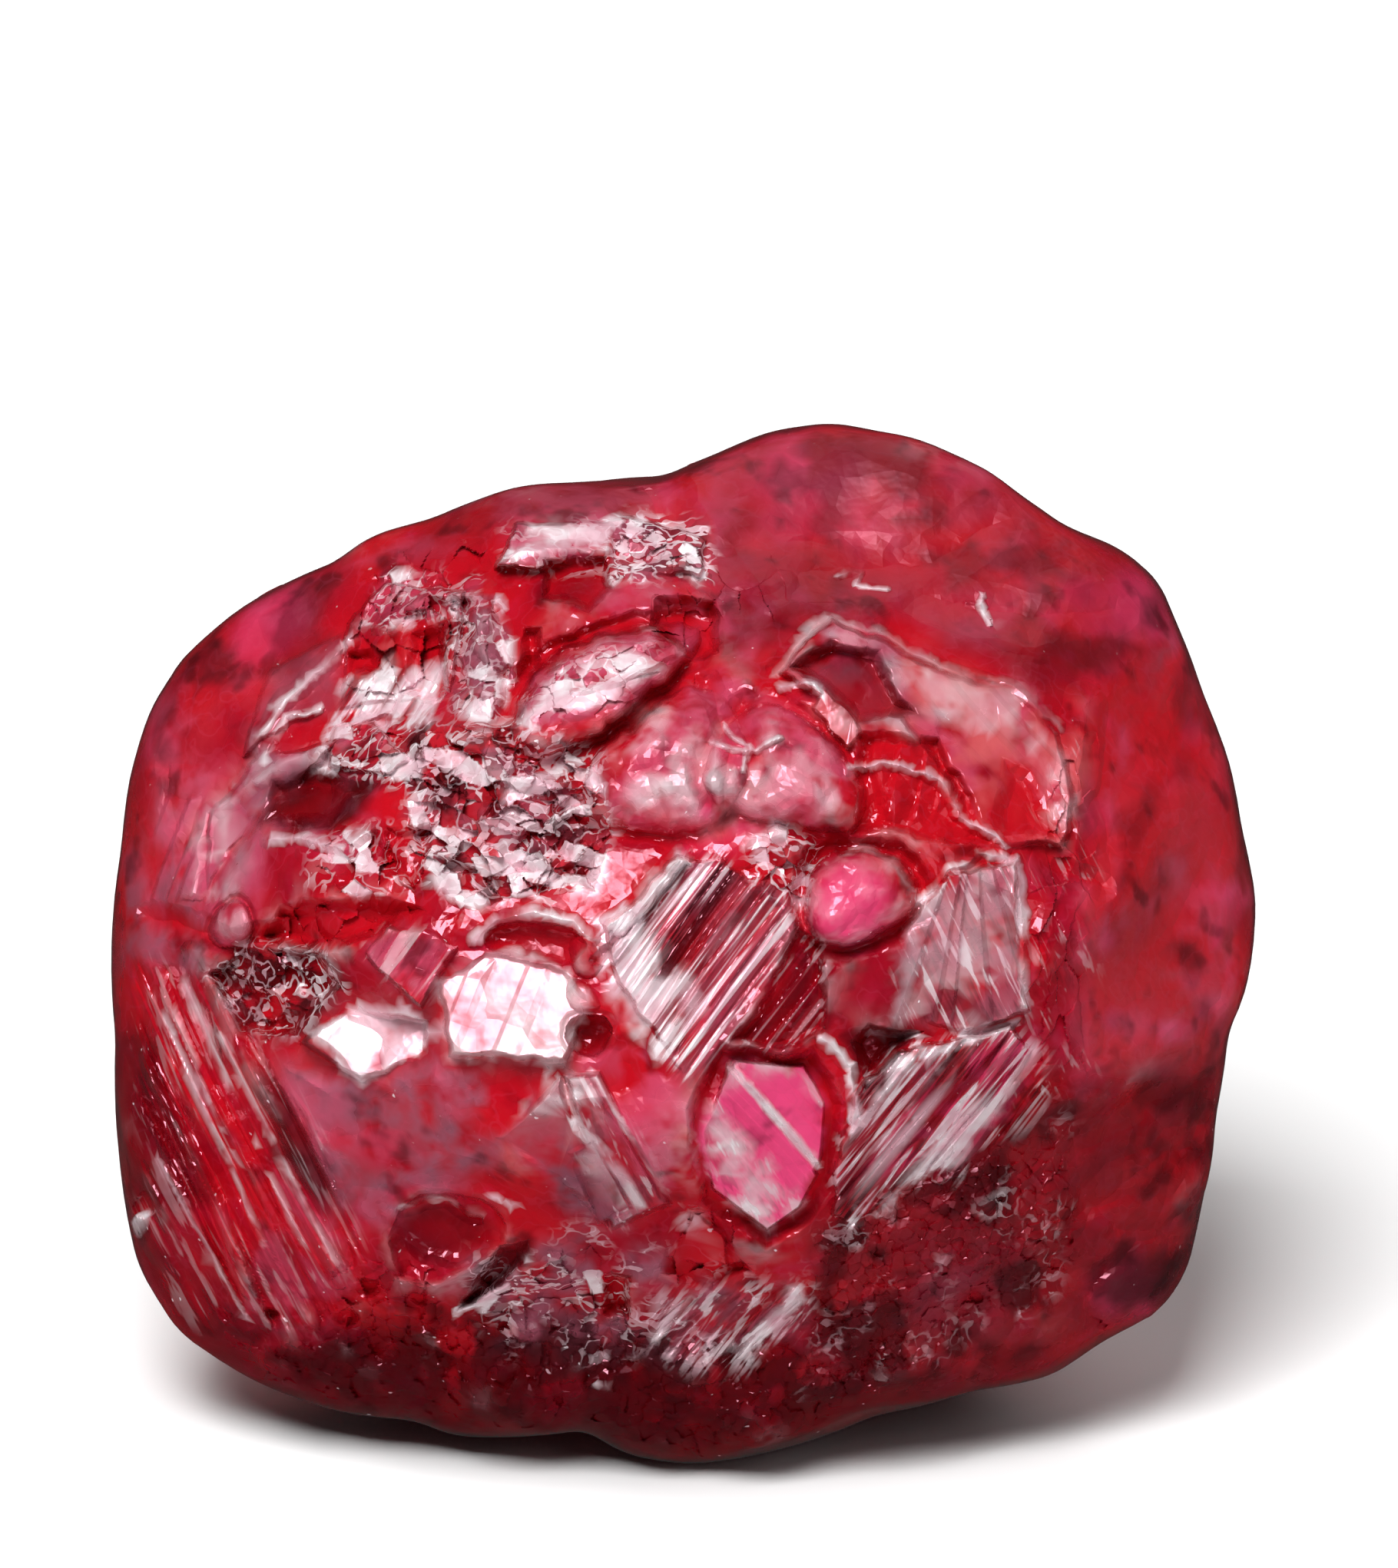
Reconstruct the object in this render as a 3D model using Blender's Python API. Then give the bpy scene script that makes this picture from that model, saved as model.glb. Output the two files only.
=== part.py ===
"""A rough diamond: one natural red crystal, lying on a flat cleavage face.

The scene is in metres, +Z up, with the origin under the middle of the stone. The sizes below are in
millimetres and become metres when the mesh is made.

The stone starts as a fine ball. The outline and the crystal faces give the ball its form, then flat
faces, lumps, pits, growth steps and grooves are worked into each side, as heights over that side. The
ball is then thinned to the triangles that the form needs, and cut flat where the stone lies.
"""

import math

import bmesh
import bpy
import numpy as np

MM = 0.001

# The front is seen from a little above the horizon, and its forms are placed as seen from there.
FRONT_ELEVATION = 20.0

# Outline of the stone seen from the front, in mm across and up from its middle, anticlockwise.
OUTLINE = (
    (5.97, 0.0), (6.0, 0.45), (5.85, 1.2), (5.72, 1.9), (5.45, 2.6), (5.15, 3.4), (4.98, 3.8),
    (4.6, 4.13), (4.0, 4.37), (3.5, 4.72), (3.0, 5.03), (2.3, 5.31), (1.55, 5.46), (0.9, 5.37),
    (0.35, 5.14), (-0.2, 4.9), (-0.9, 4.85), (-1.6, 4.72), (-2.6, 4.42), (-3.6, 4.02),
    (-4.65, 3.52), (-5.25, 3.0), (-5.6, 2.45), (-5.82, 1.7), (-5.9, 1.0), (-6.0, 0.1),
    (-5.95, -1.0), (-5.93, -2.2), (-5.72, -3.4), (-5.3, -4.08), (-4.5, -4.6), (-3.6, -4.92),
    (-2.85, -5.0), (-2.4, -5.17), (-1.6, -5.17), (-1.05, -5.1), (-0.6, -5.36), (0.0, -5.47),
    (0.8, -5.36), (2.0, -4.95), (3.0, -4.7), (3.85, -4.54), (4.4, -4.17), (5.0, -3.85),
    (5.27, -3.45), (5.42, -2.8), (5.57, -1.8), (5.7, -0.95),
)
CORNER_ROUNDING = 1.5
FRONT_DEPTH = 4.95
BACK_DEPTH = 5.1
BULGE = 2.5
FACE_BLEND = 18

# Crystal faces of the stone's habit: the way each one looks, as across, up and towards the eye from
# the front, and how far it lies from the middle.
HABIT_FACES = {
    "top slope": ((0.12, 0.74, 0.66), 4.68),
    "upper left slope": ((-0.62, 0.50, 0.60), 5.0),
    "right flank": ((0.78, 0.02, 0.62), 5.38),
    "upper right slope": ((0.62, 0.48, 0.62), 5.3),
    "lower right slope": ((0.50, -0.50, 0.71), 4.78),
    "lower slope": ((-0.05, -0.74, 0.67), 4.72),
    "left flank": ((-0.76, -0.14, 0.63), 5.45),
    "lower left slope": ((-0.45, -0.62, 0.64), 5.12),
    "back, upper left": ((0.34, 0.42, -0.84), 4.5),
    "back, upper right": ((-0.42, 0.30, -0.86), 4.62),
    "back, lower": ((0.05, -0.36, -0.93), 4.66),
    "back, top": ((-0.12, 0.80, -0.59), 4.62),
    "back, left side": ((0.80, -0.10, -0.60), 5.35),
    "back, right side": ((-0.80, -0.06, -0.60), 5.4),
    "back, low left": ((0.66, -0.62, -0.42), 5.1),
    "back, low right": ((-0.62, -0.62, -0.48), 5.2),
}
REST_FACE_DEPTH = 4.93
MOST_CHANGE = 0.32
WAVES = ((3.4, 0.045), (1.8, 0.03), (0.9, 0.014))

BALL_LEVEL = 8
FRONT_CROWDING = 1.45
TRIANGLES_KEPT = 9400
STONE_RED = (0.26, 0.008, 0.022, 1.0)

X, Y = 0, 1


def unit(vector):
    return np.asarray(vector, float) / np.linalg.norm(vector)


def side_axes(azimuth, elevation):
    """Across, up and towards the eye, as rows, for an eye at that azimuth and elevation."""
    turn, tilt = math.radians(azimuth), math.radians(elevation)
    across = (math.cos(turn), math.sin(turn), 0.0)
    towards = (math.sin(turn) * math.cos(tilt), -math.cos(turn) * math.cos(tilt), math.sin(tilt))
    return np.array((across, np.cross(towards, across), towards))


def ease(value, low, high):
    """0 below low, 1 above high, and a smooth rise between."""
    share = np.clip((value - low) / (high - low), 0.0, 1.0)
    return share * share * (3 - 2 * share)


def off_piece(across, up, start, end):
    """Distance from each place to one straight piece."""
    run_x, run_y = end[X] - start[X], end[Y] - start[Y]
    along = ((across - start[X]) * run_x + (up - start[Y]) * run_y) / (run_x**2 + run_y**2)
    along = np.clip(along, 0, 1)
    return np.hypot(across - start[X] - along * run_x, up - start[Y] - along * run_y)


def depth_inside(across, up, corners):
    """How far each place lies inside a polygon, negative outside."""
    nearest = np.full(len(across), np.inf)
    inside = np.zeros(len(across), bool)
    for start, end in zip(corners, np.roll(corners, -1, axis=0)):
        nearest = np.minimum(nearest, off_piece(across, up, start, end))
        if start[Y] == end[Y]:
            continue
        level = (start[Y] > up) != (end[Y] > up)
        meets = start[X] + (up - start[Y]) * (end[X] - start[X]) / (end[Y] - start[Y])
        inside ^= level & (across < meets)
    return np.where(inside, nearest, -nearest)


def scatter(column, row, seed):
    """A number from 0 to 1 for each cell of a grid, the same on every run."""
    value = np.sin(column * 127.1 + row * 311.7 + seed * 74.7) * 43758.5453
    return value - np.floor(value)


class Side:
    """The stone seen from one side. Each tool raises or lowers the surface towards the eye."""

    def __init__(self, points, normals, azimuth, elevation, reach, beside=None):
        self.axes = side_axes(azimuth, elevation)
        seen = points @ self.axes.T
        self.across, self.up, self.height = seen[:, 0], seen[:, 1], seen[:, 2].copy()
        self.weight = ease(normals @ self.axes[2], *reach)
        if beside is not None:
            self.weight = self.weight * beside

    def points(self):
        return np.stack((self.across, self.up, self.height), axis=1) @ self.axes

    def near(self, centre, size):
        """The vertices of this side that lie within size of a place."""
        close = np.hypot(self.across - centre[X], self.up - centre[Y]) < size
        return np.nonzero(close & (self.weight > 0))[0]

    def within(self, corners, margin=0.1):
        """The vertices round a polygon or a line, and how deep inside the polygon each lies."""
        corners = np.asarray(corners, float)
        centre = (corners.min(0) + corners.max(0)) / 2
        at = self.near(centre, np.hypot(*(corners.max(0) - corners.min(0))) / 2 + margin)
        return at, depth_inside(self.across[at], self.up[at], corners)

    def plate(self, corners, rise=0.0, lean=(0.0, 0.0), edge=0.07, slope=None, grown=False):
        """Lays a flat face: the plane nearest to the surface there, raised and leaned per mm.

        A slope, where it is given, is the face's own climb per mm across and up. A grown face only
        rises out of the surface, and where it would dip below it, it runs out.
        """
        at, depth = self.within(corners)
        inner = at[depth > 0]
        if len(inner) < 4:
            return
        middle = self.across[inner].mean(), self.up[inner].mean()
        flat = np.stack((self.across - middle[X], self.up - middle[Y], np.ones(len(self.up))), axis=1)
        plane = np.linalg.lstsq(flat[inner], self.height[inner], rcond=None)[0]
        if slope is not None:
            plane[:2] = slope
        plane += (lean[X], lean[Y], rise)
        change = np.clip(flat[at] @ plane - self.height[at], 0 if grown else -MOST_CHANGE, MOST_CHANGE)
        self.height[at] += change * ease(depth, 0, edge) * self.weight[at]

    def facet(self, centre, size, deep, lean=(0.0, 0.0)):
        """Cuts a flat face: what stands above a plane, laid deep under the surface's highest part there."""
        at = self.near(centre, size)
        off = np.stack((self.across[at] - centre[X], self.up[at] - centre[Y], np.ones(len(at))), axis=1)
        plane = np.linalg.lstsq(off, self.height[at], rcond=None)[0]
        plane += (lean[X], lean[Y], 0)
        over = self.height[at] - off @ plane
        cut = np.clip(over - (np.quantile(over, 0.98) - deep), 0, None)
        within = 1 - ease(np.hypot(off[:, X], off[:, Y]), size * 0.85, size)
        self.height[at] -= cut * within * self.weight[at]

    def sink(self, corners, deep, edge=0.12):
        """Lowers the inside of a polygon, or raises it where deep is negative."""
        at, depth = self.within(corners)
        self.height[at] -= deep * ease(depth, 0, edge) * self.weight[at]

    def lump(self, centre, radii, turn=0.0, rise=0.3, moat=0.0, uneven=0.07):
        """An oval lump that isn't quite regular, with a groove round its foot."""
        at = self.near(centre, max(radii) * 1.6)
        turn = math.radians(turn)
        dx, dy = self.across[at] - centre[X], self.up[at] - centre[Y]
        along = (dx * math.cos(turn) + dy * math.sin(turn)) / radii[X]
        over = (dy * math.cos(turn) - dx * math.sin(turn)) / radii[Y]
        round_it = np.arctan2(over, along)
        phase = centre[X] * 5 + centre[Y] * 3
        out = np.hypot(along, over)
        out = out * (1 + uneven * np.sin(2 * round_it + phase) + uneven * np.sin(3 * round_it - 2 * phase))
        shape = rise * np.clip(1 - out**2.4, 0, 1) ** 0.6
        shape -= moat * np.exp(-(((out - 1.07) / 0.15) ** 2))
        self.height[at] += shape * self.weight[at]

    def groove(self, line, width, deep):
        """A V groove along a line, or a ridge where deep is negative."""
        at, _ = self.within(line, width)
        off = np.full(len(at), np.inf)
        for start, end in zip(line, line[1:]):
            off = np.minimum(off, off_piece(self.across[at], self.up[at], start, end))
        self.height[at] -= deep * np.clip(1 - off / width, 0, 1) * self.weight[at]

    def steps(self, corners, direction, spacing, rise, seed, edge=0.12):
        """Growth steps in a polygon: a saw of uneven widths across the direction of its lines."""
        at, depth = self.within(corners)
        turn = math.radians(direction)
        over = self.up[at] * math.cos(turn) - self.across[at] * math.sin(turn)
        along = self.up[at] * math.sin(turn) + self.across[at] * math.cos(turn)
        over = over + 0.1 * spacing * np.sin(along * 2.1 + seed)
        rng = np.random.default_rng(seed)
        low, high = over.min() - spacing, over.max() + spacing
        widths = spacing * rng.uniform(0.55, 1.5, int((high - low) / spacing * 2) + 4)
        edges = low + np.concatenate(([0.0], np.cumsum(widths)))
        index = np.clip(np.searchsorted(edges, over) - 1, 0, len(widths) - 1)
        share = (over - edges[index]) / widths[index]
        tall = rise * rng.uniform(0.5, 1.3, len(widths))[index]
        saw = tall * np.where(share < 0.8, share / 0.8, (1 - share) / 0.2) - rise / 2
        self.height[at] += saw * ease(depth, 0, edge) * self.weight[at]

    def chips(self, corners, cell, tilt, seed, edge=0.2):
        """Breaks the inside of a polygon into small flat chips, each tilted its own way."""
        at, depth = self.within(corners)
        places = np.stack((self.across[at], self.up[at]), axis=1) / cell
        home = np.floor(places).astype(int)
        nearest = np.full(len(at), np.inf)
        chip = np.zeros(len(at))
        for step_x in (-1, 0, 1):
            for step_y in (-1, 0, 1):
                column, row = home[:, 0] + step_x, home[:, 1] + step_y
                spot_x, spot_y, tip_x, tip_y, lift = (scatter(column, row, seed + n) for n in range(5))
                dx = places[:, 0] - column - spot_x
                dy = places[:, 1] - row - spot_y
                off = np.hypot(dx, dy)
                plane = 2 * (tip_x - 0.5) * dx + 2 * (tip_y - 0.5) * dy + 0.8 * (lift - 0.5)
                chip = np.where(off < nearest, plane * tilt * cell, chip)
                nearest = np.minimum(nearest, off)
        self.height[at] += chip * ease(depth, 0, edge) * self.weight[at]

    def three_cornered_pit(self, centre, size, turn, deep=0.3):
        """The usual mark of slow dissolving on a diamond's flat faces."""
        turns = [math.radians(turn + third) for third in (0, 120, 240)]
        corners = [(centre[X] + size * math.cos(t), centre[Y] + size * math.sin(t)) for t in turns]
        self.sink(corners, size * deep, size * 0.35)


def ball():
    """A fine ball of radius 1 whose vertices crowd towards the front."""
    mesh = bmesh.new()
    bmesh.ops.create_icosphere(mesh, subdivisions=BALL_LEVEL, radius=1.0)
    points = np.array([vert.co[:] for vert in mesh.verts])
    towards = side_axes(0, FRONT_ELEVATION)[2]
    height = points @ towards
    flat = points - np.outer(height, towards)
    # Each vertex slides from the back to the front along its meridian.
    reach = np.sqrt((1 + height) / np.maximum(1 - height, 1e-9)) * FRONT_CROWDING
    moved = (reach**2 - 1) / (reach**2 + 1)
    length = np.maximum(np.linalg.norm(flat, axis=1), 1e-9)
    scale = np.sqrt(np.clip(1 - moved**2, 0, 1)) / length
    return mesh, flat * scale[:, None] + np.outer(moved, towards)


def outline_reach(angle):
    """How far the outline lies from the middle at each angle, its corners a little rounded."""
    corners = np.array(OUTLINE)
    turns = np.unwrap(np.arctan2(corners[:, Y], corners[:, X]))
    reach = np.hypot(corners[:, X], corners[:, Y])
    turns = np.concatenate((turns - 2 * np.pi, turns, turns + 2 * np.pi))
    shifts = np.radians(np.array((-1.0, -0.5, 0.0, 0.5, 1.0)) * CORNER_ROUNDING)
    return np.mean([np.interp(angle + shift, turns, np.tile(reach, 3)) for shift in shifts], axis=0)


def habit(directions):
    """The stone's form before its surface is worked: the outline given depth, cut by crystal faces."""
    seen = directions @ side_axes(0, FRONT_ELEVATION).T
    flat = np.hypot(seen[:, 0], seen[:, 1])
    reach = outline_reach(np.arctan2(seen[:, 1], seen[:, 0]))
    depth = np.where(seen[:, 2] > 0, FRONT_DEPTH, BACK_DEPTH)
    body = ((flat / reach) ** BULGE + (np.abs(seen[:, 2]) / depth) ** BULGE) ** (1 / BULGE)
    # The faces stop short of the outline, which keeps its shape.
    clear = ease(np.abs(seen[:, 2]), 0.02, 0.4)
    total = body**FACE_BLEND
    for normal, distance in HABIT_FACES.values():
        total += clear * (np.clip(seen @ unit(normal), 0, None) / distance) ** FACE_BLEND
    return directions / (total ** (1 / FACE_BLEND))[:, None]


def swell(points):
    """Low waves over the stone, as on a crystal rounded by slow dissolving."""
    rng = np.random.default_rng(7)
    wave = np.zeros(len(points))
    for size, rise in WAVES:
        for _ in range(5):
            direction = unit(rng.normal(size=3))
            wave += rise * np.sin(points @ direction * 2 * np.pi / size + rng.uniform(0, 6.3))
    height = points @ side_axes(0, FRONT_ELEVATION)[2]
    wave *= ease(np.abs(height), 0.2, 1.6)
    return points * (1 + wave / np.linalg.norm(points, axis=1))[:, None]


def surface_normals(points, triangles):
    """The way the surface faces at each vertex."""
    corners = points[triangles]
    faces = np.cross(corners[:, 1] - corners[:, 0], corners[:, 2] - corners[:, 0])
    normals = np.zeros_like(points)
    for corner in range(3):
        np.add.at(normals, triangles[:, corner], faces)
    return normals / np.linalg.norm(normals, axis=1)[:, None]


def work_front(front):
    """The forms that the front shows."""
    upper_slopes(front)
    upper_left(front)
    middle(front)
    right(front)
    lower_left(front)
    lower_right(front)


def upper_slopes(front):
    front.groove([(-0.4, 4.8), (-0.1, 4.2), (0.4, 3.6)], 0.45, 0.2)
    front.groove([(3.2, 4.4), (2.6, 3.95), (1.2, 3.9)], 0.35, 0.12)


def upper_left(front):
    # The top ledge over its hollow, and the block with two windows.
    front.plate([(-1.95, 3.9), (-1.8, 4.35), (-0.5, 4.5), (0.25, 4.2), (0.2, 3.8)], 0.16, (0, 0.16), grown=True)
    front.sink([(-1.5, 3.6), (-1.45, 4.02), (-0.8, 4.05), (-0.7, 3.7), (-1.0, 3.45)], 0.28)
    front.plate([(-3.6, 2.45), (-3.5, 3.4), (-3.1, 3.75), (-2.2, 3.7), (-2.4, 2.6)], 0.14, (0.05, 0.16), grown=True)
    front.sink([(-2.95, 2.65), (-2.85, 3.25), (-2.45, 3.35), (-2.42, 2.6), (-2.6, 2.5)], 0.3)
    front.sink([(-3.55, 2.8), (-3.5, 3.1), (-3.2, 3.15), (-3.1, 2.85)], 0.2)
    front.groove([(-2.1, 3.6), (-2.05, 2.9), (-2.2, 2.3)], 0.3, -0.22)
    front.sink([(-1.75, 2.75), (-1.7, 3.3), (-1.45, 3.3), (-1.5, 2.8)], 0.25)
    # The boulder and the gap at its upper end.
    front.lump((-0.88, 2.74), (1.02, 0.5), 26, 0.42, 0.2)
    front.sink([(-0.4, 3.3), (-0.3, 3.65), (0.35, 3.6), (0.35, 3.0), (0.1, 2.9)], 0.3)
    # Two arched plates, the lower one with a hollow inside it.
    front.plate([(-4.6, 1.9), (-4.3, 2.9), (-3.5, 3.3), (-3.6, 2.5), (-4.0, 2.3)], 0.08, (-0.22, 0.12), grown=True)
    front.plate([(-5.0, 0.6), (-4.9, 1.5), (-4.4, 2.0), (-3.5, 2.15), (-4.2, 1.4)], 0.12, (-0.1, 0.2), grown=True)
    front.sink([(-4.45, 1.2), (-4.3, 1.75), (-3.8, 1.85), (-3.1, 1.7), (-3.6, 1.15)], 0.26)
    small_plate = [(-3.7, 1.85), (-3.6, 2.3), (-3.2, 2.35), (-2.75, 1.9), (-3.0, 1.75)]
    front.plate(small_plate, 0.16, (0, -0.15), grown=True)


def middle(front):
    crystal_heap = [(-2.7, 1.0), (-2.6, 2.2), (-1.2, 2.15), (-0.7, 1.3), (-0.9, 0.6), (-2.3, 0.5)]
    front.chips(crystal_heap, 0.42, 0.5, 3)
    # The rose coloured lump, in two halves with a fold between them.
    front.lump((-0.1, 1.85), (0.82, 0.72), 35, 0.32, 0.12, 0.1)
    front.lump((1.0, 1.8), (0.72, 0.64), -35, 0.3, 0.12, 0.12)
    front.groove([(0.25, 2.7), (0.5, 2.1), (0.42, 1.2)], 0.14, 0.12)
    # The valley across the left half, with the small crystal, the nodule and the tongue beside it.
    front.groove([(-5.9, 0.28), (-5.3, 0.28), (-4.7, 0.0), (-4.3, 0.1)], 0.22, 0.28)
    red_hollow = [(-4.5, 0.0), (-4.2, 0.45), (-3.2, 0.6), (-2.6, 0.35), (-3.1, 0.05), (-3.5, -0.1)]
    front.sink(red_hollow, 0.36, 0.2)
    front.sink([(-3.15, 0.85), (-3.05, 1.25), (-2.5, 1.3), (-2.75, 0.5)], 0.25)
    front.lump((-2.85, 0.92), (0.17, 0.32), 10, 0.2)
    front.lump((-4.7, 0.22), (0.3, 0.24), 35, 0.16)
    tongue = [(-3.25, -0.15), (-3.0, 0.2), (-2.6, 0.25), (-2.3, 0.05), (-2.65, -0.65)]
    front.plate(tongue, 0.14, (0, -0.2), grown=True)
    # The pitted hollow at the left.
    hollow = [(-4.95, -0.3), (-4.6, 0.0), (-3.7, 0.0), (-3.5, -0.4), (-4.0, -0.95), (-4.6, -0.9)]
    front.sink(hollow, 0.22)
    front.chips(hollow, 0.3, 0.7, 5)
    # The bright brow: two polished faces, with an oval pit over them and a round one beside.
    side_brow = [(-4.0, -1.0), (-3.5, -0.6), (-2.6, -0.75), (-2.6, -1.1), (-3.3, -1.4)]
    front.plate(side_brow, 0.08, edge=0.22, slope=(0.22, -0.3))
    brow = [(-2.5, -0.35), (-2.05, 0.0), (-1.2, -0.25), (-0.95, -0.6), (-1.2, -1.2), (-2.4, -1.15)]
    front.plate(brow, 0.1, edge=0.2, slope=(0.18, -0.3))
    front.lump((-1.5, 0.05), (0.5, 0.24), -5, -0.25)
    front.lump((-0.98, -0.9), (0.26, 0.22), 0, -0.34, 0, 0)
    # The stepped block in the middle.
    block = [(-0.85, 0.25), (-0.05, 1.0), (0.4, 0.9), (1.15, 0.3), (0.45, -0.95), (0.05, -1.4), (-0.7, -0.4)]
    front.plate(block, 0.13, (-0.2, 0.12), grown=True)
    front.steps(block, 55, 0.24, 0.1, 11)
    front.sink([(0.45, -1.0), (1.1, 0.2), (1.45, 0.0), (1.5, -0.85), (0.9, -1.1)], 0.24)


def right(front):
    # The great wing-shaped face, its deep window and the ledge under it.
    front.plate([
        (0.95, 2.8), (1.5, 3.45), (2.3, 3.05), (3.5, 2.6), (4.1, 2.5), (4.15, 1.4), (3.9, 0.95),
        (3.2, 1.0), (2.7, 1.65), (2.2, 2.3), (1.6, 2.4),
    ], 0.17, (-0.05, 0.08))
    front.sink([(1.05, 2.85), (1.5, 3.2), (2.05, 3.05), (2.4, 2.4), (1.75, 2.2), (1.45, 2.6)], 0.4)
    front.plate([(1.3, 2.45), (1.5, 2.65), (1.85, 2.15), (1.65, 1.95)], 0.12, (0.1, 0), 0.04)
    front.sink([(1.7, 1.2), (1.75, 2.2), (2.6, 2.15), (3.0, 1.5), (3.2, 1.0), (2.4, 1.05)], 0.22)
    front.groove([(1.7, 1.85), (2.2, 1.85), (2.6, 1.7), (2.85, 1.35), (3.3, 1.0)], 0.12, -0.14)
    front.sink([(3.25, 1.05), (3.4, 1.65), (3.85, 1.05)], 0.14)
    # The round lump under it and the fan-shaped face.
    front.lump((1.75, 0.5), (0.56, 0.55), 0, 0.3, 0.24)
    fan = [(2.4, 0.45), (2.7, 0.8), (3.4, 0.9), (3.45, 0.0), (3.6, -0.7), (2.9, -0.9), (2.1, -0.75)]
    front.plate(fan, 0.08, (0.2, 0.12), grown=True)
    front.steps(fan, -72, 0.3, 0.07, 13)
    # The stepped wedge and the dark notch at its head.
    wedge = [(1.5, -2.75), (1.75, -1.5), (2.2, -1.1), (3.4, -0.8), (3.6, -1.1), (2.9, -2.1), (1.7, -2.85)]
    front.plate(wedge, 0.1, (-0.15, 0.2), grown=True)
    front.steps(wedge, 51, 0.24, 0.1, 17)
    front.sink([(1.75, -1.0), (1.9, -1.45), (2.2, -1.1), (2.5, -0.9), (1.9, -0.8)], 0.34)
    front.groove([(1.45, -0.95), (1.75, -1.25), (1.8, -1.75)], 0.1, -0.12)
    # Ridges that run down the right edge of the front.
    front.groove([(4.15, 2.5), (4.05, 0.9), (3.75, 0.4), (3.75, -1.3)], 0.2, -0.12)
    front.groove([(3.9, 0.75), (4.15, 0.7), (4.3, 0.6)], 0.16, 0.16)


def lower_left(front):
    # Thick plates down the left flank, then the smooth face and the two facets right of it.
    front.steps([
        (-5.75, -0.1), (-4.9, -0.25), (-4.3, -1.1), (-3.6, -2.2), (-3.3, -3.1), (-3.7, -4.0),
        (-4.4, -4.1), (-5.2, -3.0), (-5.7, -1.6),
    ], -65, 0.42, 0.17, 23)
    smooth_face = [(-4.2, -1.2), (-2.5, -1.2), (-2.0, -2.2), (-2.8, -2.8), (-3.5, -3.0)]
    front.plate(smooth_face, 0.05, edge=0.4)
    front.plate([(-1.25, -1.3), (-1.95, -1.95), (-1.3, -2.4), (-0.75, -2.95)], 0.04, (0.2, 0.05), 0.1)
    front.plate([(-1.25, -1.3), (-0.85, -1.25), (-0.1, -2.65), (-0.75, -2.95)], 0.1, (-0.25, -0.05), 0.08)
    # The crescent pit, the slot and the rough foot.
    front.lump((-2.5, -3.0), (0.62, 0.46), 20, -0.26, -0.08)
    front.sink([(-2.4, -3.85), (-1.95, -3.05), (-1.6, -2.95), (-1.65, -3.2), (-2.15, -3.75)], 0.4)
    front.sink([(-0.9, -3.5), (-0.75, -3.35), (-0.5, -3.4), (-0.6, -3.9), (-0.9, -3.9)], 0.34)
    front.chips([(-3.7, -3.4), (-2.6, -3.3), (-2.3, -4.4), (-3.6, -4.4)], 0.34, 0.5, 29)
    front.chips([(-2.2, -3.4), (-0.9, -3.0), (-0.4, -4.3), (-2.0, -4.5)], 0.45, 0.4, 31)
    front.lump((-5.6, -2.7), (0.16, 0.12), 30, -0.15)


def lower_right(front):
    # The window crystal in its moat, with a ridge from corner to corner.
    front.sink([
        (0.35, -1.0), (1.4, -1.0), (1.7, -1.6), (1.65, -2.4), (1.3, -2.85), (0.85, -3.15),
        (0.1, -2.65), (0.0, -1.7),
    ], 0.3, 0.16)
    front.plate([
        (0.5, -1.15), (1.25, -1.2), (1.45, -1.6), (1.45, -2.15), (1.2, -2.7), (0.85, -2.95),
        (0.28, -2.5), (0.2, -1.9),
    ], 0.2, edge=0.06)
    front.plate([(0.5, -1.15), (1.25, -1.2), (1.45, -1.6), (1.42, -2.3)], -0.02, (-0.2, -0.1), 0.04)
    front.plate([(0.45, -1.2), (1.4, -2.35), (1.2, -2.7), (0.85, -2.95), (0.28, -2.5), (0.2, -1.9)],
                -0.02, (0.15, 0.08), 0.04)
    front.sink([(-0.3, -3.3), (0.0, -2.6), (0.3, -2.7), (0.75, -3.4), (0.3, -3.6)], 0.14)
    front.plate([(-0.15, -3.2), (0.05, -2.65), (0.45, -3.0), (0.5, -3.35)], 0.1, (0.2, 0), 0.05, grown=True)
    # Folds at the foot, and the rough lower right slope.
    front.steps([(-0.3, -3.6), (1.2, -3.5), (1.3, -3.9), (0.5, -4.45), (-0.3, -4.2)], 48, 0.3, 0.13, 37)
    front.chips([(1.4, -2.9), (2.5, -2.2), (3.9, -1.8), (4.6, -3.0), (3.2, -4.3), (1.4, -4.3)], 0.6, 0.22, 41)


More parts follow.
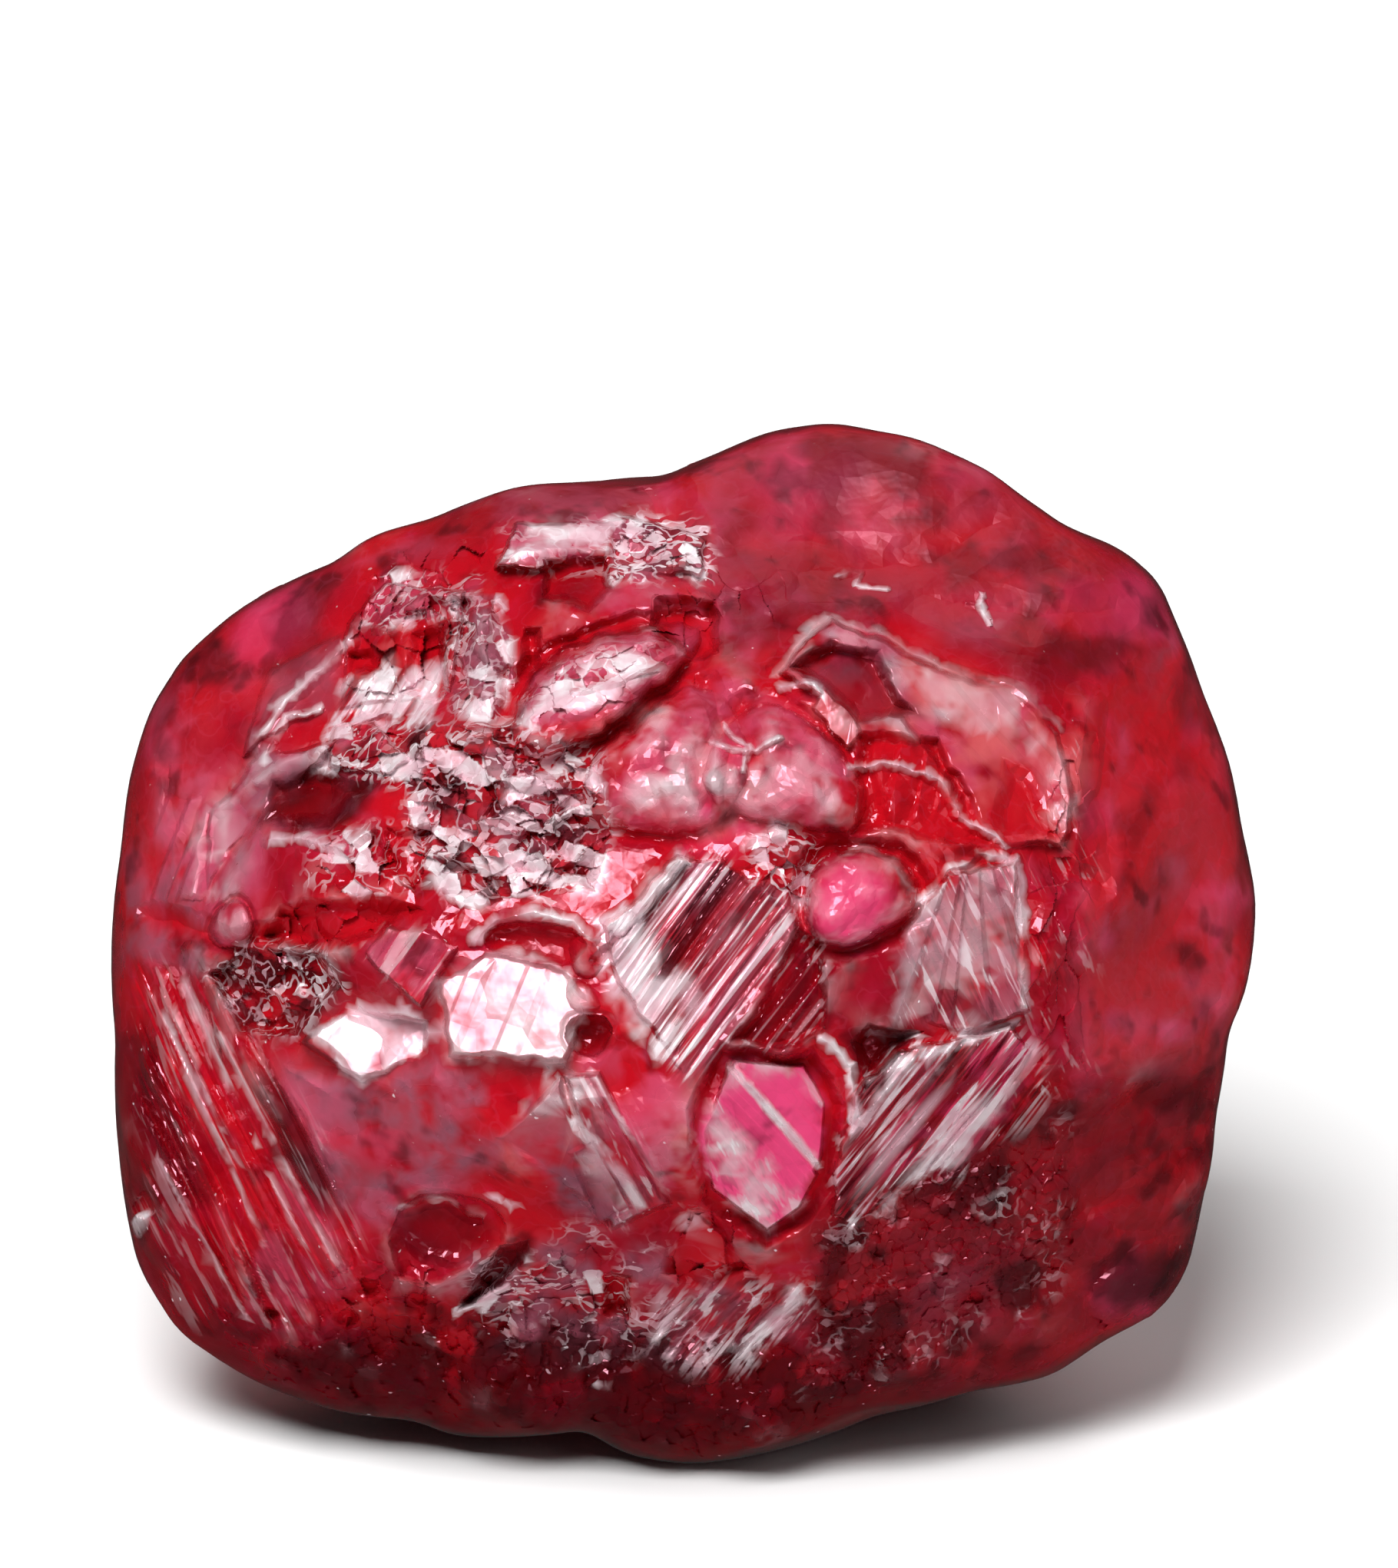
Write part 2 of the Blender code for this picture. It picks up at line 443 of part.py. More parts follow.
def work_back(back):
    """Flat faces with steps and pits, a row of lumps between them and a chipped foot."""
    back.facet((-1.9, 1.7), 2.0, 0.3, (0.03, 0.03))
    back.facet((2.1, 1.4), 1.9, 0.26, (-0.04, 0.02))
    back.facet((-1.0, -2.1), 1.9, 0.24, (0, 0.05))
    back.facet((-3.7, -0.7), 1.3, 0.2, (0.1, 0))
    back.steps([(0.9, 0.5), (1.2, 2.8), (2.9, 2.5), (3.6, 0.7), (2.4, -0.1)], 62, 0.42, 0.12, 51)
    back.steps([(-2.3, -3.0), (-2.6, -1.5), (-0.6, -1.1), (-0.2, -3.0)], -4, 0.46, 0.12, 53)
    back.chips([(1.0, -3.6), (0.8, -1.8), (2.7, -0.9), (4.0, -1.6), (3.0, -3.4)], 0.62, 0.3, 57)
    back.lump((0.2, 2.6), (0.5, 0.8), 10, 0.22, 0.12)
    back.lump((0.15, 0.7), (0.55, 0.42), 40, 0.24, 0.12)
    back.lump((1.2, -0.9), (0.42, 0.5), 20, 0.2, 0.12)
    for place, size in (((-2.2, 1.9), 0.55), ((-1.2, 2.6), 0.34), ((-1.4, 1.1), 0.42), ((-2.6, 0.9), 0.26)):
        back.three_cornered_pit(place, size, 80)
    back.groove([(-3.9, 0.2), (-2.2, -0.4), (-0.8, -0.35), (0.6, -1.2), (0.8, -2.4)], 0.2, 0.2)


def work_right(side):
    """A ledge, low lumps, one stepped face and small pits."""
    side.facet((1.2, 1.0), 1.7, 0.22, (0.04, 0))
    side.facet((1.4, -1.9), 1.5, 0.2, (0, 0.05))
    side.steps([(0.3, 0.0), (0.2, 1.8), (1.4, 2.3), (2.4, 1.0), (1.8, -0.2)], 74, 0.4, 0.11, 61)
    side.chips([(0.9, -2.6), (1.8, -1.0), (3.3, -1.0), (3.0, -3.0), (1.4, -3.3)], 0.55, 0.3, 63)
    side.lump((2.9, 1.6), (0.5, 0.65), 10, 0.22, 0.12)
    side.lump((1.0, 3.2), (0.6, 0.4), -20, 0.2, 0.1)
    for place, size in (((0.9, 0.9), 0.34), ((1.5, 1.5), 0.24), ((3.0, 0.2), 0.3)):
        side.three_cornered_pit(place, size, 20)


def work_left(side):
    """A pitted face, plates that run down the flank and a chipped foot."""
    side.facet((-1.4, 1.2), 1.7, 0.24, (0, 0.03))
    side.facet((-1.3, -1.7), 1.5, 0.2, (0.05, 0))
    side.steps([(-2.4, -2.9), (-2.6, -0.6), (-1.2, -0.2), (-0.3, -0.8), (-0.6, -2.8)], 82, 0.44, 0.14, 71)
    side.chips([(-3.6, -2.6), (-3.6, -0.8), (-2.6, -0.7), (-2.5, -2.8)], 0.55, 0.3, 73)
    side.lump((-3.0, 1.0), (0.42, 0.6), 0, 0.2, 0.12)
    side.lump((-0.8, 3.0), (0.7, 0.42), 20, 0.22, 0.12)
    for place, size in (((-1.5, 1.3), 0.46), ((-0.8, 1.8), 0.3), ((-0.9, 0.6), 0.24)):
        side.three_cornered_pit(place, size, 50)


def work_top(top):
    """The crown: flat faces, a stepped terrace and one long groove."""
    top.facet((-2.2, 2.4), 1.7, 0.22, (0, 0.03))
    top.facet((1.9, 2.9), 1.6, 0.22, (-0.02, 0.03))
    top.steps([(-3.0, 2.2), (-2.2, 3.4), (-0.8, 3.4), (-1.0, 2.0)], 12, 0.42, 0.11, 81)
    top.lump((0.5, 3.6), (0.8, 0.5), 0, 0.2, 0.12)
    top.groove([(-4.2, 1.9), (-2.4, 1.7), (-0.8, 2.2), (0.3, 2.6), (0.6, 3.1)], 0.2, 0.16)
    for place, size in (((-1.6, 1.9), 0.34), ((1.6, 2.6), 0.4), ((2.4, 3.1), 0.28)):
        top.three_cornered_pit(place, size, 110)


HIDDEN_SIDES = ((work_back, 180, 8), (work_right, 90, 5), (work_left, -90, 5), (work_top, 0, 80))


def shaped_stone(directions, triangles):
    """Where each vertex of the ball comes to lie, in mm, with the table at height 0."""
    points = swell(habit(directions))
    normals = surface_normals(points, triangles)
    front_axes = side_axes(0, FRONT_ELEVATION)
    # The hidden sides are worked only behind the outline, which keeps its shape.
    beside = ease(-(normals @ front_axes[2]), 0.02, 0.25)
    for work, azimuth, elevation in HIDDEN_SIDES:
        side = Side(points, normals, azimuth, elevation, (0.3, 0.6), beside)
        work(side)
        points = side.points()
    front = Side(points, normals, 0, FRONT_ELEVATION, (0.12, 0.4))
    work_front(front)
    points = front.points()
    points[:, 2] += REST_FACE_DEPTH
    above = points[points[:, 2] > 0]
    points[:, :2] -= (above[:, :2].min(0) + above[:, :2].max(0)) / 2
    return points


def stone_material():
    material = bpy.data.materials.new("diamond")
    material.use_nodes = True
    shader = material.node_tree.nodes["Principled BSDF"]
    shader.inputs["Base Color"].default_value = STONE_RED
    shader.inputs["Roughness"].default_value = 0.25
    shader.inputs["IOR"].default_value = 2.42
    shader.inputs["Metallic"].default_value = 0.0
    material.diffuse_color = STONE_RED
    return material


def collection(name):
    made = bpy.data.collections.new(name)
    bpy.context.scene.collection.children.link(made)
    return made


def rest_cutter(cutters):
    """A block with its top at height 0. What it cuts off leaves the flat face that the stone lies on."""
    size = 30 * MM
    bpy.ops.mesh.primitive_cube_add(size=size, location=(0, 0, -size / 2))
    cutter = bpy.context.object
    cutter.name = "rest_cutter"
    cutter.hide_render = True
    cutter.display_type = "WIRE"
    for old in cutter.users_collection:
        old.objects.unlink(cutter)
    cutters.objects.link(cutter)
    return cutter


def main():
    for obj in list(bpy.data.objects):
        bpy.data.objects.remove(obj)
    parts, cutters = collection("rough diamond"), collection("cutters")

    grown, directions = ball()
    triangles = np.array([[vert.index for vert in face.verts] for face in grown.faces])
    for vert, place in zip(grown.verts, shaped_stone(directions, triangles)):
        vert.co = place * MM
    mesh = bpy.data.meshes.new("rough_diamond")
    grown.to_mesh(mesh)
    grown.free()
    mesh.materials.append(stone_material())
    stone = bpy.data.objects.new("rough_diamond", mesh)
    parts.objects.link(stone)

    fewer = stone.modifiers.new("fewer triangles", "DECIMATE")
    fewer.ratio = TRIANGLES_KEPT / len(triangles)
    rest = stone.modifiers.new("rest face", "BOOLEAN")
    rest.operation = "DIFFERENCE"
    rest.solver = "EXACT"
    rest.object = rest_cutter(cutters)


main()
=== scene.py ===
"""The finished look of the rough diamond: its worked surface, its red crystal material and the studio.

The stone's form is laid out in millimetres, as in its CAD model. Forms on each side are placed in the
plane of that side, across and up from the stone's middle, and raise or lower the surface there.
"""

import math

import bpy
import numpy as np
from mathutils import Matrix, Vector

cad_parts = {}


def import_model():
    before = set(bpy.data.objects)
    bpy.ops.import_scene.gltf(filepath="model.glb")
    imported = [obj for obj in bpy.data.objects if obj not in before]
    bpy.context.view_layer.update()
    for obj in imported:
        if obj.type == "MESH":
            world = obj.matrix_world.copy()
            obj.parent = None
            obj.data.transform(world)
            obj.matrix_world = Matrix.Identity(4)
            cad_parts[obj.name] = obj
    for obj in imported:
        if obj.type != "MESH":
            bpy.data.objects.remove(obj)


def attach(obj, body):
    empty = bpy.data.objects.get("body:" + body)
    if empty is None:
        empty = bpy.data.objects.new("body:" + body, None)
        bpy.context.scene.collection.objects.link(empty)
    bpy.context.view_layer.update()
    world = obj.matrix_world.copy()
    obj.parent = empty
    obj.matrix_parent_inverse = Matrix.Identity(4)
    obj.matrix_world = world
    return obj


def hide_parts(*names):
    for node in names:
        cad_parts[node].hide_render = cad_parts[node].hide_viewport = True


MM = 0.001
X, Y = 0, 1

# The photograph's viewing angle, and the stone's outline as seen from there, anticlockwise.
FRONT_ELEVATION = 20.0
OUTLINE = (
    (5.97, 0.0), (6.0, 0.45), (5.85, 1.2), (5.72, 1.9), (5.45, 2.6), (5.15, 3.4), (4.98, 3.8),
    (4.6, 4.13), (4.0, 4.37), (3.5, 4.72), (3.0, 5.03), (2.3, 5.31), (1.55, 5.46), (0.9, 5.37),
    (0.35, 5.14), (-0.2, 4.9), (-0.9, 4.85), (-1.6, 4.72), (-2.6, 4.42), (-3.6, 4.02),
    (-4.65, 3.52), (-5.25, 3.0), (-5.6, 2.45), (-5.82, 1.7), (-5.9, 1.0), (-6.0, 0.1),
    (-5.95, -1.0), (-5.93, -2.2), (-5.72, -3.4), (-5.3, -4.08), (-4.5, -4.6), (-3.6, -4.92),
    (-2.85, -5.0), (-2.4, -5.17), (-1.6, -5.17), (-1.05, -5.1), (-0.6, -5.36), (0.0, -5.47),
    (0.8, -5.36), (2.0, -4.95), (3.0, -4.7), (3.85, -4.54), (4.4, -4.17), (5.0, -3.85),
    (5.27, -3.45), (5.42, -2.8), (5.57, -1.8), (5.7, -0.95),
)
CORNER_ROUNDING = 1.5
FRONT_DEPTH = 4.95
BACK_DEPTH = 5.1
BULGE = 2.5
FACE_BLEND = 18

# The crystal faces of the habit: which way each looks, and how far it lies from the middle.
HABIT_FACES = {
    "top slope": ((0.12, 0.74, 0.66), 4.68),
    "upper left slope": ((-0.62, 0.50, 0.60), 5.0),
    "right flank": ((0.78, 0.02, 0.62), 5.38),
    "upper right slope": ((0.62, 0.48, 0.62), 5.3),
    "lower right slope": ((0.50, -0.50, 0.71), 4.78),
    "lower slope": ((-0.05, -0.74, 0.67), 4.72),
    "left flank": ((-0.76, -0.14, 0.63), 5.45),
    "lower left slope": ((-0.45, -0.62, 0.64), 5.12),
    "back, upper left": ((0.34, 0.42, -0.84), 4.5),
    "back, upper right": ((-0.42, 0.30, -0.86), 4.62),
    "back, lower": ((0.05, -0.36, -0.93), 4.66),
    "back, top": ((-0.12, 0.80, -0.59), 4.62),
    "back, left side": ((0.80, -0.10, -0.60), 5.35),
    "back, right side": ((-0.80, -0.06, -0.60), 5.4),
    "back, low left": ((0.66, -0.62, -0.42), 5.1),
    "back, low right": ((-0.62, -0.62, -0.48), 5.2),
}
REST_FACE_DEPTH = 4.93

# How far the surface has to face a side, from none to all of that side's work.
FRONT_REACH = (0.12, 0.4)
HIDDEN_REACH = (0.3, 0.6)
BEHIND_OUTLINE = (0.02, 0.25)

# The most that a flat face moves the surface, and the shapes of steps, moats, crumples and waves.
MOST_CHANGE = 0.32
CLIMB = 0.8
MOAT_PLACE = 1.07
MOAT_WIDTH = 0.15
CRUMPLES = ((0.55, 0.05), (0.17, 0.026), (0.07, 0.01))
NEIGHBOURS = [(column, row) for column in (-1, 0, 1) for row in (-1, 0, 1)]
WAVES = ((3.4, 0.045), (1.8, 0.03), (0.9, 0.014))
WAVES_OF_A_SIZE = 5
PIT_DEPTH = 0.3
PIT_EDGE = 0.35
WAVE_SEED = 7
GIRDLE_RADIUS = 5.5
GIRDLE_CHIPS = ((1.1, 0.06, 261), (0.45, 0.035, 265), (0.17, 0.014, 269))

BALL_LEVEL = 9
FRONT_CROWDING = 1.6
TRIANGLES_KEPT = 192000


def unit(vector):
    return np.asarray(vector, float) / np.linalg.norm(vector)


def side_axes(azimuth, elevation):
    """Across, up and towards the eye, as rows, for an eye at that azimuth and elevation."""
    turn, tilt = math.radians(azimuth), math.radians(elevation)
    across = (math.cos(turn), math.sin(turn), 0.0)
    towards = (math.sin(turn) * math.cos(tilt), -math.cos(turn) * math.cos(tilt), math.sin(tilt))
    return np.array((across, np.cross(towards, across), towards))


FRONT = side_axes(0, FRONT_ELEVATION)


def ease(value, low, high):
    """0 below low, 1 above high, and a smooth rise between."""
    share = np.clip((value - low) / (high - low), 0.0, 1.0)
    return share * share * (3 - 2 * share)


def off_piece(across, up, start, end):
    """Distance from each place to one straight piece."""
    run_x, run_y = end[X] - start[X], end[Y] - start[Y]
    along = ((across - start[X]) * run_x + (up - start[Y]) * run_y) / (run_x**2 + run_y**2)
    along = np.clip(along, 0, 1)
    return np.hypot(across - start[X] - along * run_x, up - start[Y] - along * run_y)


def off_line(across, up, line):
    """Distance from each place to the nearest piece of a line."""
    off = np.full(len(across), np.inf)
    for start, end in zip(line, line[1:]):
        off = np.minimum(off, off_piece(across, up, start, end))
    return off


def turned(across, up, angle):
    """Each place along a direction, in degrees, and over it."""
    turn = math.radians(angle)
    return across * math.cos(turn) + up * math.sin(turn), up * math.cos(turn) - across * math.sin(turn)


def fanned(across, up, apex):
    """The turn of each place round an apex, and its distance from it."""
    dx, dy = across - apex[X], up - apex[Y]
    return np.arctan2(dy, dx), np.hypot(dx, dy)


def in_oval(across, up, centre, radii, turn):
    """Each place along and over an oval, where 1 is its edge."""
    along, over = turned(across - centre[X], up - centre[Y], turn)
    return along / radii[X], over / radii[Y]


def close_to(across, up, corners, margin, shown):
    """The shown vertices in the box round a polygon or a line."""
    low, high = corners.min(0) - margin, corners.max(0) + margin
    close = (across > low[X]) & (across < high[X]) & (up > low[Y]) & (up < high[Y])
    return np.nonzero(close & (shown > 0))[0]


def depth_inside(across, up, corners):
    """How far each place lies inside a polygon, negative outside."""
    nearest = np.full(len(across), np.inf)
    inside = np.zeros(len(across), bool)
    for start, end in zip(corners, np.roll(corners, -1, axis=0)):
        nearest = np.minimum(nearest, off_piece(across, up, start, end))
        if start[Y] == end[Y]:
            continue
        level = (start[Y] > up) != (end[Y] > up)
        meets = start[X] + (up - start[Y]) * (end[X] - start[X]) / (end[Y] - start[Y])
        inside ^= level & (across < meets)
    return np.where(inside, nearest, -nearest)


def scatter(column, row, seed):
    """A number from 0 to 1 for each cell of a grid, the same on every run."""
    value = np.sin(column * 127.1 + row * 311.7 + seed * 74.7) * 43758.5453
    return value - np.floor(value)


def smooth_noise(across, up, size, seed):
    """Soft hills and hollows of about that size, from -1 to 1."""
    x, y = across / size, up / size
    column, row = np.floor(x), np.floor(y)
    share_x, share_y = ease(x - column, 0, 1), ease(y - row, 0, 1)
    low = scatter(column, row, seed) * (1 - share_x) + scatter(column + 1, row, seed) * share_x
    high = scatter(column, row + 1, seed) * (1 - share_x) + scatter(column + 1, row + 1, seed) * share_x
    return 2 * (low * (1 - share_y) + high * share_y) - 1


def crumpled(across, up):
    """The plane's own grid, bent a little this way and that."""
    bent = []
    for values, seed in ((across, 1), (up, 5)):
        for size, shift in CRUMPLES:
            values = values + shift * smooth_noise(across, up, size, seed)
            seed += 2
        bent.append(values)
    return bent


def nearest_cell(across, up, cell, seed, stretch=1.0, turn=0.0):
    """Splits the plane into uneven cells: the way to the middle of each place's own cell, and its number."""
    x, y = turned(across, up, turn)
    places = np.stack((x / stretch, y), axis=1) / cell
    home = np.floor(places).astype(int)
    nearest = np.full(len(across), np.inf)
    off = np.zeros((len(across), 2))
    number = np.zeros((len(across), 2), int)
    for step in NEIGHBOURS:
        column, row = (home + step).T
        middle = np.stack((column + scatter(column, row, seed), row + scatter(column, row, seed + 1)), axis=1)
        way = places - middle
        distance = np.hypot(way[:, 0], way[:, 1])
        closer = distance < nearest
        nearest = np.where(closer, distance, nearest)
        off = np.where(closer[:, None], way, off)
        number = np.where(closer[:, None], home + step, number)
    return off, number


def saw(over, along, spacing, rise, seed):
    """Growth steps of uneven width and height, each a long climb over the lines and a short drop."""
    over = over + 0.1 * spacing * np.sin(along * 2.1 + seed)
    rng = np.random.default_rng(seed)
    low, high = over.min() - spacing, over.max() + spacing
    widths = spacing * rng.uniform(0.55, 1.5, int((high - low) / spacing * 2) + 4)
    edges = low + np.concatenate(([0.0], np.cumsum(widths)))
    index = np.clip(np.searchsorted(edges, over) - 1, 0, len(widths) - 1)
    share = (over - edges[index]) / widths[index]
    tall = rise * rng.uniform(0.5, 1.3, len(widths))[index]
    return tall * np.where(share < CLIMB, share / CLIMB, (1 - share) / (1 - CLIMB)) - rise / 2


class Side:
    """The stone seen from one side. Each tool raises or lowers the surface towards the eye."""

    def __init__(self, points, normals, azimuth, elevation, reach, beside=None):
        self.axes = side_axes(azimuth, elevation)
        seen = points @ self.axes.T
        self.across, self.up, self.height = seen[:, 0], seen[:, 1], seen[:, 2].copy()
        self.weight = ease(normals @ self.axes[2], *reach)
        if beside is not None:
            self.weight = self.weight * beside
        # No edge on a natural stone is straight, so every form is laid out on a slightly crumpled grid.
        self.bent_across, self.bent_up = crumpled(self.across, self.up)

    def straighten(self, share):
        """Lays out what follows on a grid with less of the crumple, down to none at a share of 1."""
        bent_across, bent_up = crumpled(self.across, self.up)
        self.bent_across = bent_across + (self.across - bent_across) * share
        self.bent_up = bent_up + (self.up - bent_up) * share

    def points(self):
        return np.stack((self.across, self.up, self.height), axis=1) @ self.axes

    def within(self, corners, margin=0.1):
        """The vertices round a polygon or a line, and how deep inside the polygon each lies."""
        corners = np.asarray(corners, float)
        at = close_to(self.across, self.up, corners, margin, self.weight)
        return at, depth_inside(self.bent_across[at], self.bent_up[at], corners)

    def lift(self, at, change, depth, edge):
        """Changes the height inside a polygon, less and less towards its edge."""
        self.height[at] += change * ease(depth, 0, edge) * self.weight[at]

    def plate(self, corners, rise=0.0, lean=(0.0, 0.0), edge=0.05, slope=None, grown=False):
        """Lays a flat face: the plane nearest to the surface there, raised and leaned per mm.

        A slope, where it is given, is the face's own climb per mm across and up. A grown face only
        rises out of the surface, and where it would dip below it, it runs out.
        """
        at, depth = self.within(corners)
        inner = at[depth > 0]
        middle = self.across[inner].mean(), self.up[inner].mean()
        off = np.stack((self.across[at] - middle[X], self.up[at] - middle[Y], np.ones(len(at))), axis=1)
        plane = np.linalg.lstsq(off[depth > 0], self.height[inner], rcond=None)[0]
        if slope is not None:
            plane[:2] = slope
        plane += (lean[X], lean[Y], rise)
        change = np.clip(off @ plane - self.height[at], 0 if grown else -MOST_CHANGE, MOST_CHANGE)
        self.lift(at, change, depth, edge)

    def facet(self, centre, size, deep, lean=(0.0, 0.0)):
        """Cuts a flat face: what stands above a plane, laid deep under the surface's highest part there."""
        close = np.hypot(self.across - centre[X], self.up - centre[Y]) < size
        at = np.nonzero(close & (self.weight > 0))[0]
        off = np.stack((self.across[at] - centre[X], self.up[at] - centre[Y], np.ones(len(at))), axis=1)
        plane = np.linalg.lstsq(off, self.height[at], rcond=None)[0]
        plane += (lean[X], lean[Y], 0)
        over = self.height[at] - off @ plane
        cut = np.clip(over - (np.quantile(over, 0.98) - deep), 0, None)
        kept = ease(np.hypot(off[:, X], off[:, Y]), size * 0.85, size)
        self.height[at] -= cut * (1 - kept) * self.weight[at]

    def sink(self, corners, deep, edge=0.12):
        """Lowers the inside of a polygon, or raises it where deep is negative."""
        at, depth = self.within(corners)
        self.lift(at, -deep, depth, edge)

    def lump(self, centre, radii, turn=0.0, rise=0.3, moat=0.0, uneven=0.07):
        """An oval lump that isn't quite regular, with a groove round its foot."""
        at = close_to(self.across, self.up, np.array([centre]), max(radii) * 1.6, self.weight)
        along, over = in_oval(self.bent_across[at], self.bent_up[at], centre, radii, turn)
        round_it = np.arctan2(over, along)
        phase = centre[X] * 5 + centre[Y] * 3
        out = np.hypot(along, over)
        out = out * (1 + uneven * np.sin(2 * round_it + phase) + uneven * np.sin(3 * round_it - 2 * phase))
        shape = rise * np.clip(1 - out**2.4, 0, 1) ** 0.6
        shape -= moat * np.exp(-(((out - MOAT_PLACE) / MOAT_WIDTH) ** 2))
        self.height[at] += shape * self.weight[at]

    def groove(self, line, width, deep):
        """A V groove along a line, or a ridge where deep is negative."""
        at = close_to(self.across, self.up, np.asarray(line, float), width, self.weight)
        off = off_line(self.bent_across[at], self.bent_up[at], line)
        self.height[at] -= deep * np.clip(1 - off / width, 0, 1) * self.weight[at]

    def steps(self, corners, direction, spacing, rise, seed, edge=0.1):
        """Growth steps in a polygon, their lines in one direction."""
        at, depth = self.within(corners)
        along, over = turned(self.across[at], self.up[at], direction)
        self.lift(at, saw(over, along, spacing, rise, seed), depth, edge)

    def fanned_steps(self, corners, apex, spacing, rise, seed, edge=0.1):
        """Growth steps that spread from an apex. Spacing is taken 1 mm away from it."""
        at, depth = self.within(corners)
        self.lift(at, saw(*fanned(self.across[at], self.up[at], apex), spacing, rise, seed), depth, edge)

    def chips(self, corners, cell, tilt, seed, edge=0.15, stretch=1.0, turn=0.0):
        """Breaks the inside of a polygon into small flat chips, each tilted its own way."""
        at, depth = self.within(corners)
        off, number = nearest_cell(self.bent_across[at], self.bent_up[at], cell, seed, stretch, turn)
        tip_x, tip_y, lift = (2 * scatter(number[:, 0], number[:, 1], seed + n) - 1 for n in (2, 3, 4))
        chip = tip_x * off[:, 0] + tip_y * off[:, 1] + 0.4 * lift
        self.lift(at, chip * tilt * cell, depth, edge)

    def knobs(self, corners, cell, rise, seed, edge=0.15, stretch=1.0, turn=0.0):
        """Tilted rounded knobs that meet in creases, as on a surface etched by slow dissolving."""
        at, depth = self.within(corners)
        x, y = turned(self.bent_across[at], self.bent_up[at], turn)
        places = np.stack((x / stretch, y), axis=1) / cell
        home = np.floor(places).astype(int)
        shape = np.full(len(at), -np.inf)
        for step in NEIGHBOURS:
            column, row = (home + step).T
            spot_x, spot_y, tip_x, tip_y, lift = (scatter(column, row, seed + n) for n in range(5))
            dx, dy = places[:, 0] - column - spot_x, places[:, 1] - row - spot_y
            knob = (tip_x - 0.5) * dx + (tip_y - 0.5) * dy + 0.5 * lift - 0.8 * (dx**2 + dy**2)
            shape = np.maximum(shape, knob)
        self.lift(at, rise * (shape - np.median(shape)), depth, edge)

    def pebbles(self, corners, size, rise, seed, edge=0.1):
        """Small round grains close together, of uneven height."""
        at, depth = self.within(corners)
        places = np.stack((self.across[at], self.up[at]), axis=1) / size
        home = np.floor(places).astype(int)
        shape = np.zeros(len(at))
        for step in NEIGHBOURS:
            column, row = (home + step).T
            spot_x, spot_y, big = (scatter(column, row, seed + n) for n in range(3))
            dx, dy = places[:, 0] - column - 0.2 - 0.6 * spot_x, places[:, 1] - row - 0.2 - 0.6 * spot_y
            big = 0.4 + 0.45 * big
            dome = np.sqrt(np.clip(1 - (dx**2 + dy**2) / big**2, 0, 1)) * big * 1.4
            shape = np.maximum(shape, dome)
        self.lift(at, rise * shape, depth, edge)

    def ripple(self, corners, size, rise, seed, edge=0.2):
        """Soft uneven hills in a polygon, in two sizes."""
        at, depth = self.within(corners)
        wave = smooth_noise(self.across[at], self.up[at], size, seed)
        wave += 0.5 * smooth_noise(self.across[at], self.up[at], size * 0.47, seed + 9)
        self.lift(at, rise * wave, depth, edge)

    def three_cornered_pits(self, turn, *pits):
        """The usual marks of slow dissolving on a diamond's flat faces, each at a place and of a size."""
        turns = [math.radians(turn + third) for third in (0, 120, 240)]
        for centre, size in pits:
            corners = [(centre[X] + size * math.cos(t), centre[Y] + size * math.sin(t)) for t in turns]
            self.sink(corners, size * PIT_DEPTH, size * PIT_EDGE)


def outline_reach(angle):
    """How far the outline lies from the middle at each angle, its corners a little rounded."""
    corners = np.array(OUTLINE)
    turns = np.unwrap(np.arctan2(corners[:, Y], corners[:, X]))
    reach = np.hypot(corners[:, X], corners[:, Y])
    turns = np.concatenate((turns - 2 * np.pi, turns, turns + 2 * np.pi))
    shifts = np.radians(np.array((-1.0, -0.5, 0.0, 0.5, 1.0)) * CORNER_ROUNDING)
    return np.mean([np.interp(angle + shift, turns, np.tile(reach, 3)) for shift in shifts], axis=0)


def habit_reach(directions):
    """How far the plain form reaches in each direction: the outline given depth, cut by crystal faces."""
    seen = directions @ FRONT.T
    flat = np.hypot(seen[:, 0], seen[:, 1])
    reach = outline_reach(np.arctan2(seen[:, 1], seen[:, 0]))
    depth = np.where(seen[:, 2] > 0, FRONT_DEPTH, BACK_DEPTH)
    body = ((flat / reach) ** BULGE + (np.abs(seen[:, 2]) / depth) ** BULGE) ** (1 / BULGE)
    clear = ease(np.abs(seen[:, 2]), 0.02, 0.4)
    total = body**FACE_BLEND
    for normal, distance in HABIT_FACES.values():
        total += clear * (np.clip(seen @ unit(normal), 0, None) / distance) ** FACE_BLEND
    return total ** (-1 / FACE_BLEND)


def swell(points):
    """Low waves over the stone, as on a crystal rounded by slow dissolving."""
    rng = np.random.default_rng(WAVE_SEED)
    wave = np.zeros(len(points))
    for size, rise in WAVES:
        for _ in range(WAVES_OF_A_SIZE):
            direction = unit(rng.normal(size=3))
            wave += rise * np.sin(points @ direction * 2 * np.pi / size + rng.uniform(0, 6.3))
    wave *= ease(np.abs(points @ FRONT[2]), 0.2, 1.6)
    return points * (1 + wave / np.linalg.norm(points, axis=1))[:, None]


def surface_normals(points, triangles):
    """The way the surface faces at each vertex."""
    corners = points[triangles]
    faces = np.cross(corners[:, 1] - corners[:, 0], corners[:, 2] - corners[:, 0])
    normals = np.stack([
        sum(np.bincount(triangles[:, corner], faces[:, axis], len(points)) for corner in range(3))
        for axis in range(3)
    ], axis=1)
    return normals / np.maximum(np.linalg.norm(normals, axis=1), 1e-12)[:, None]


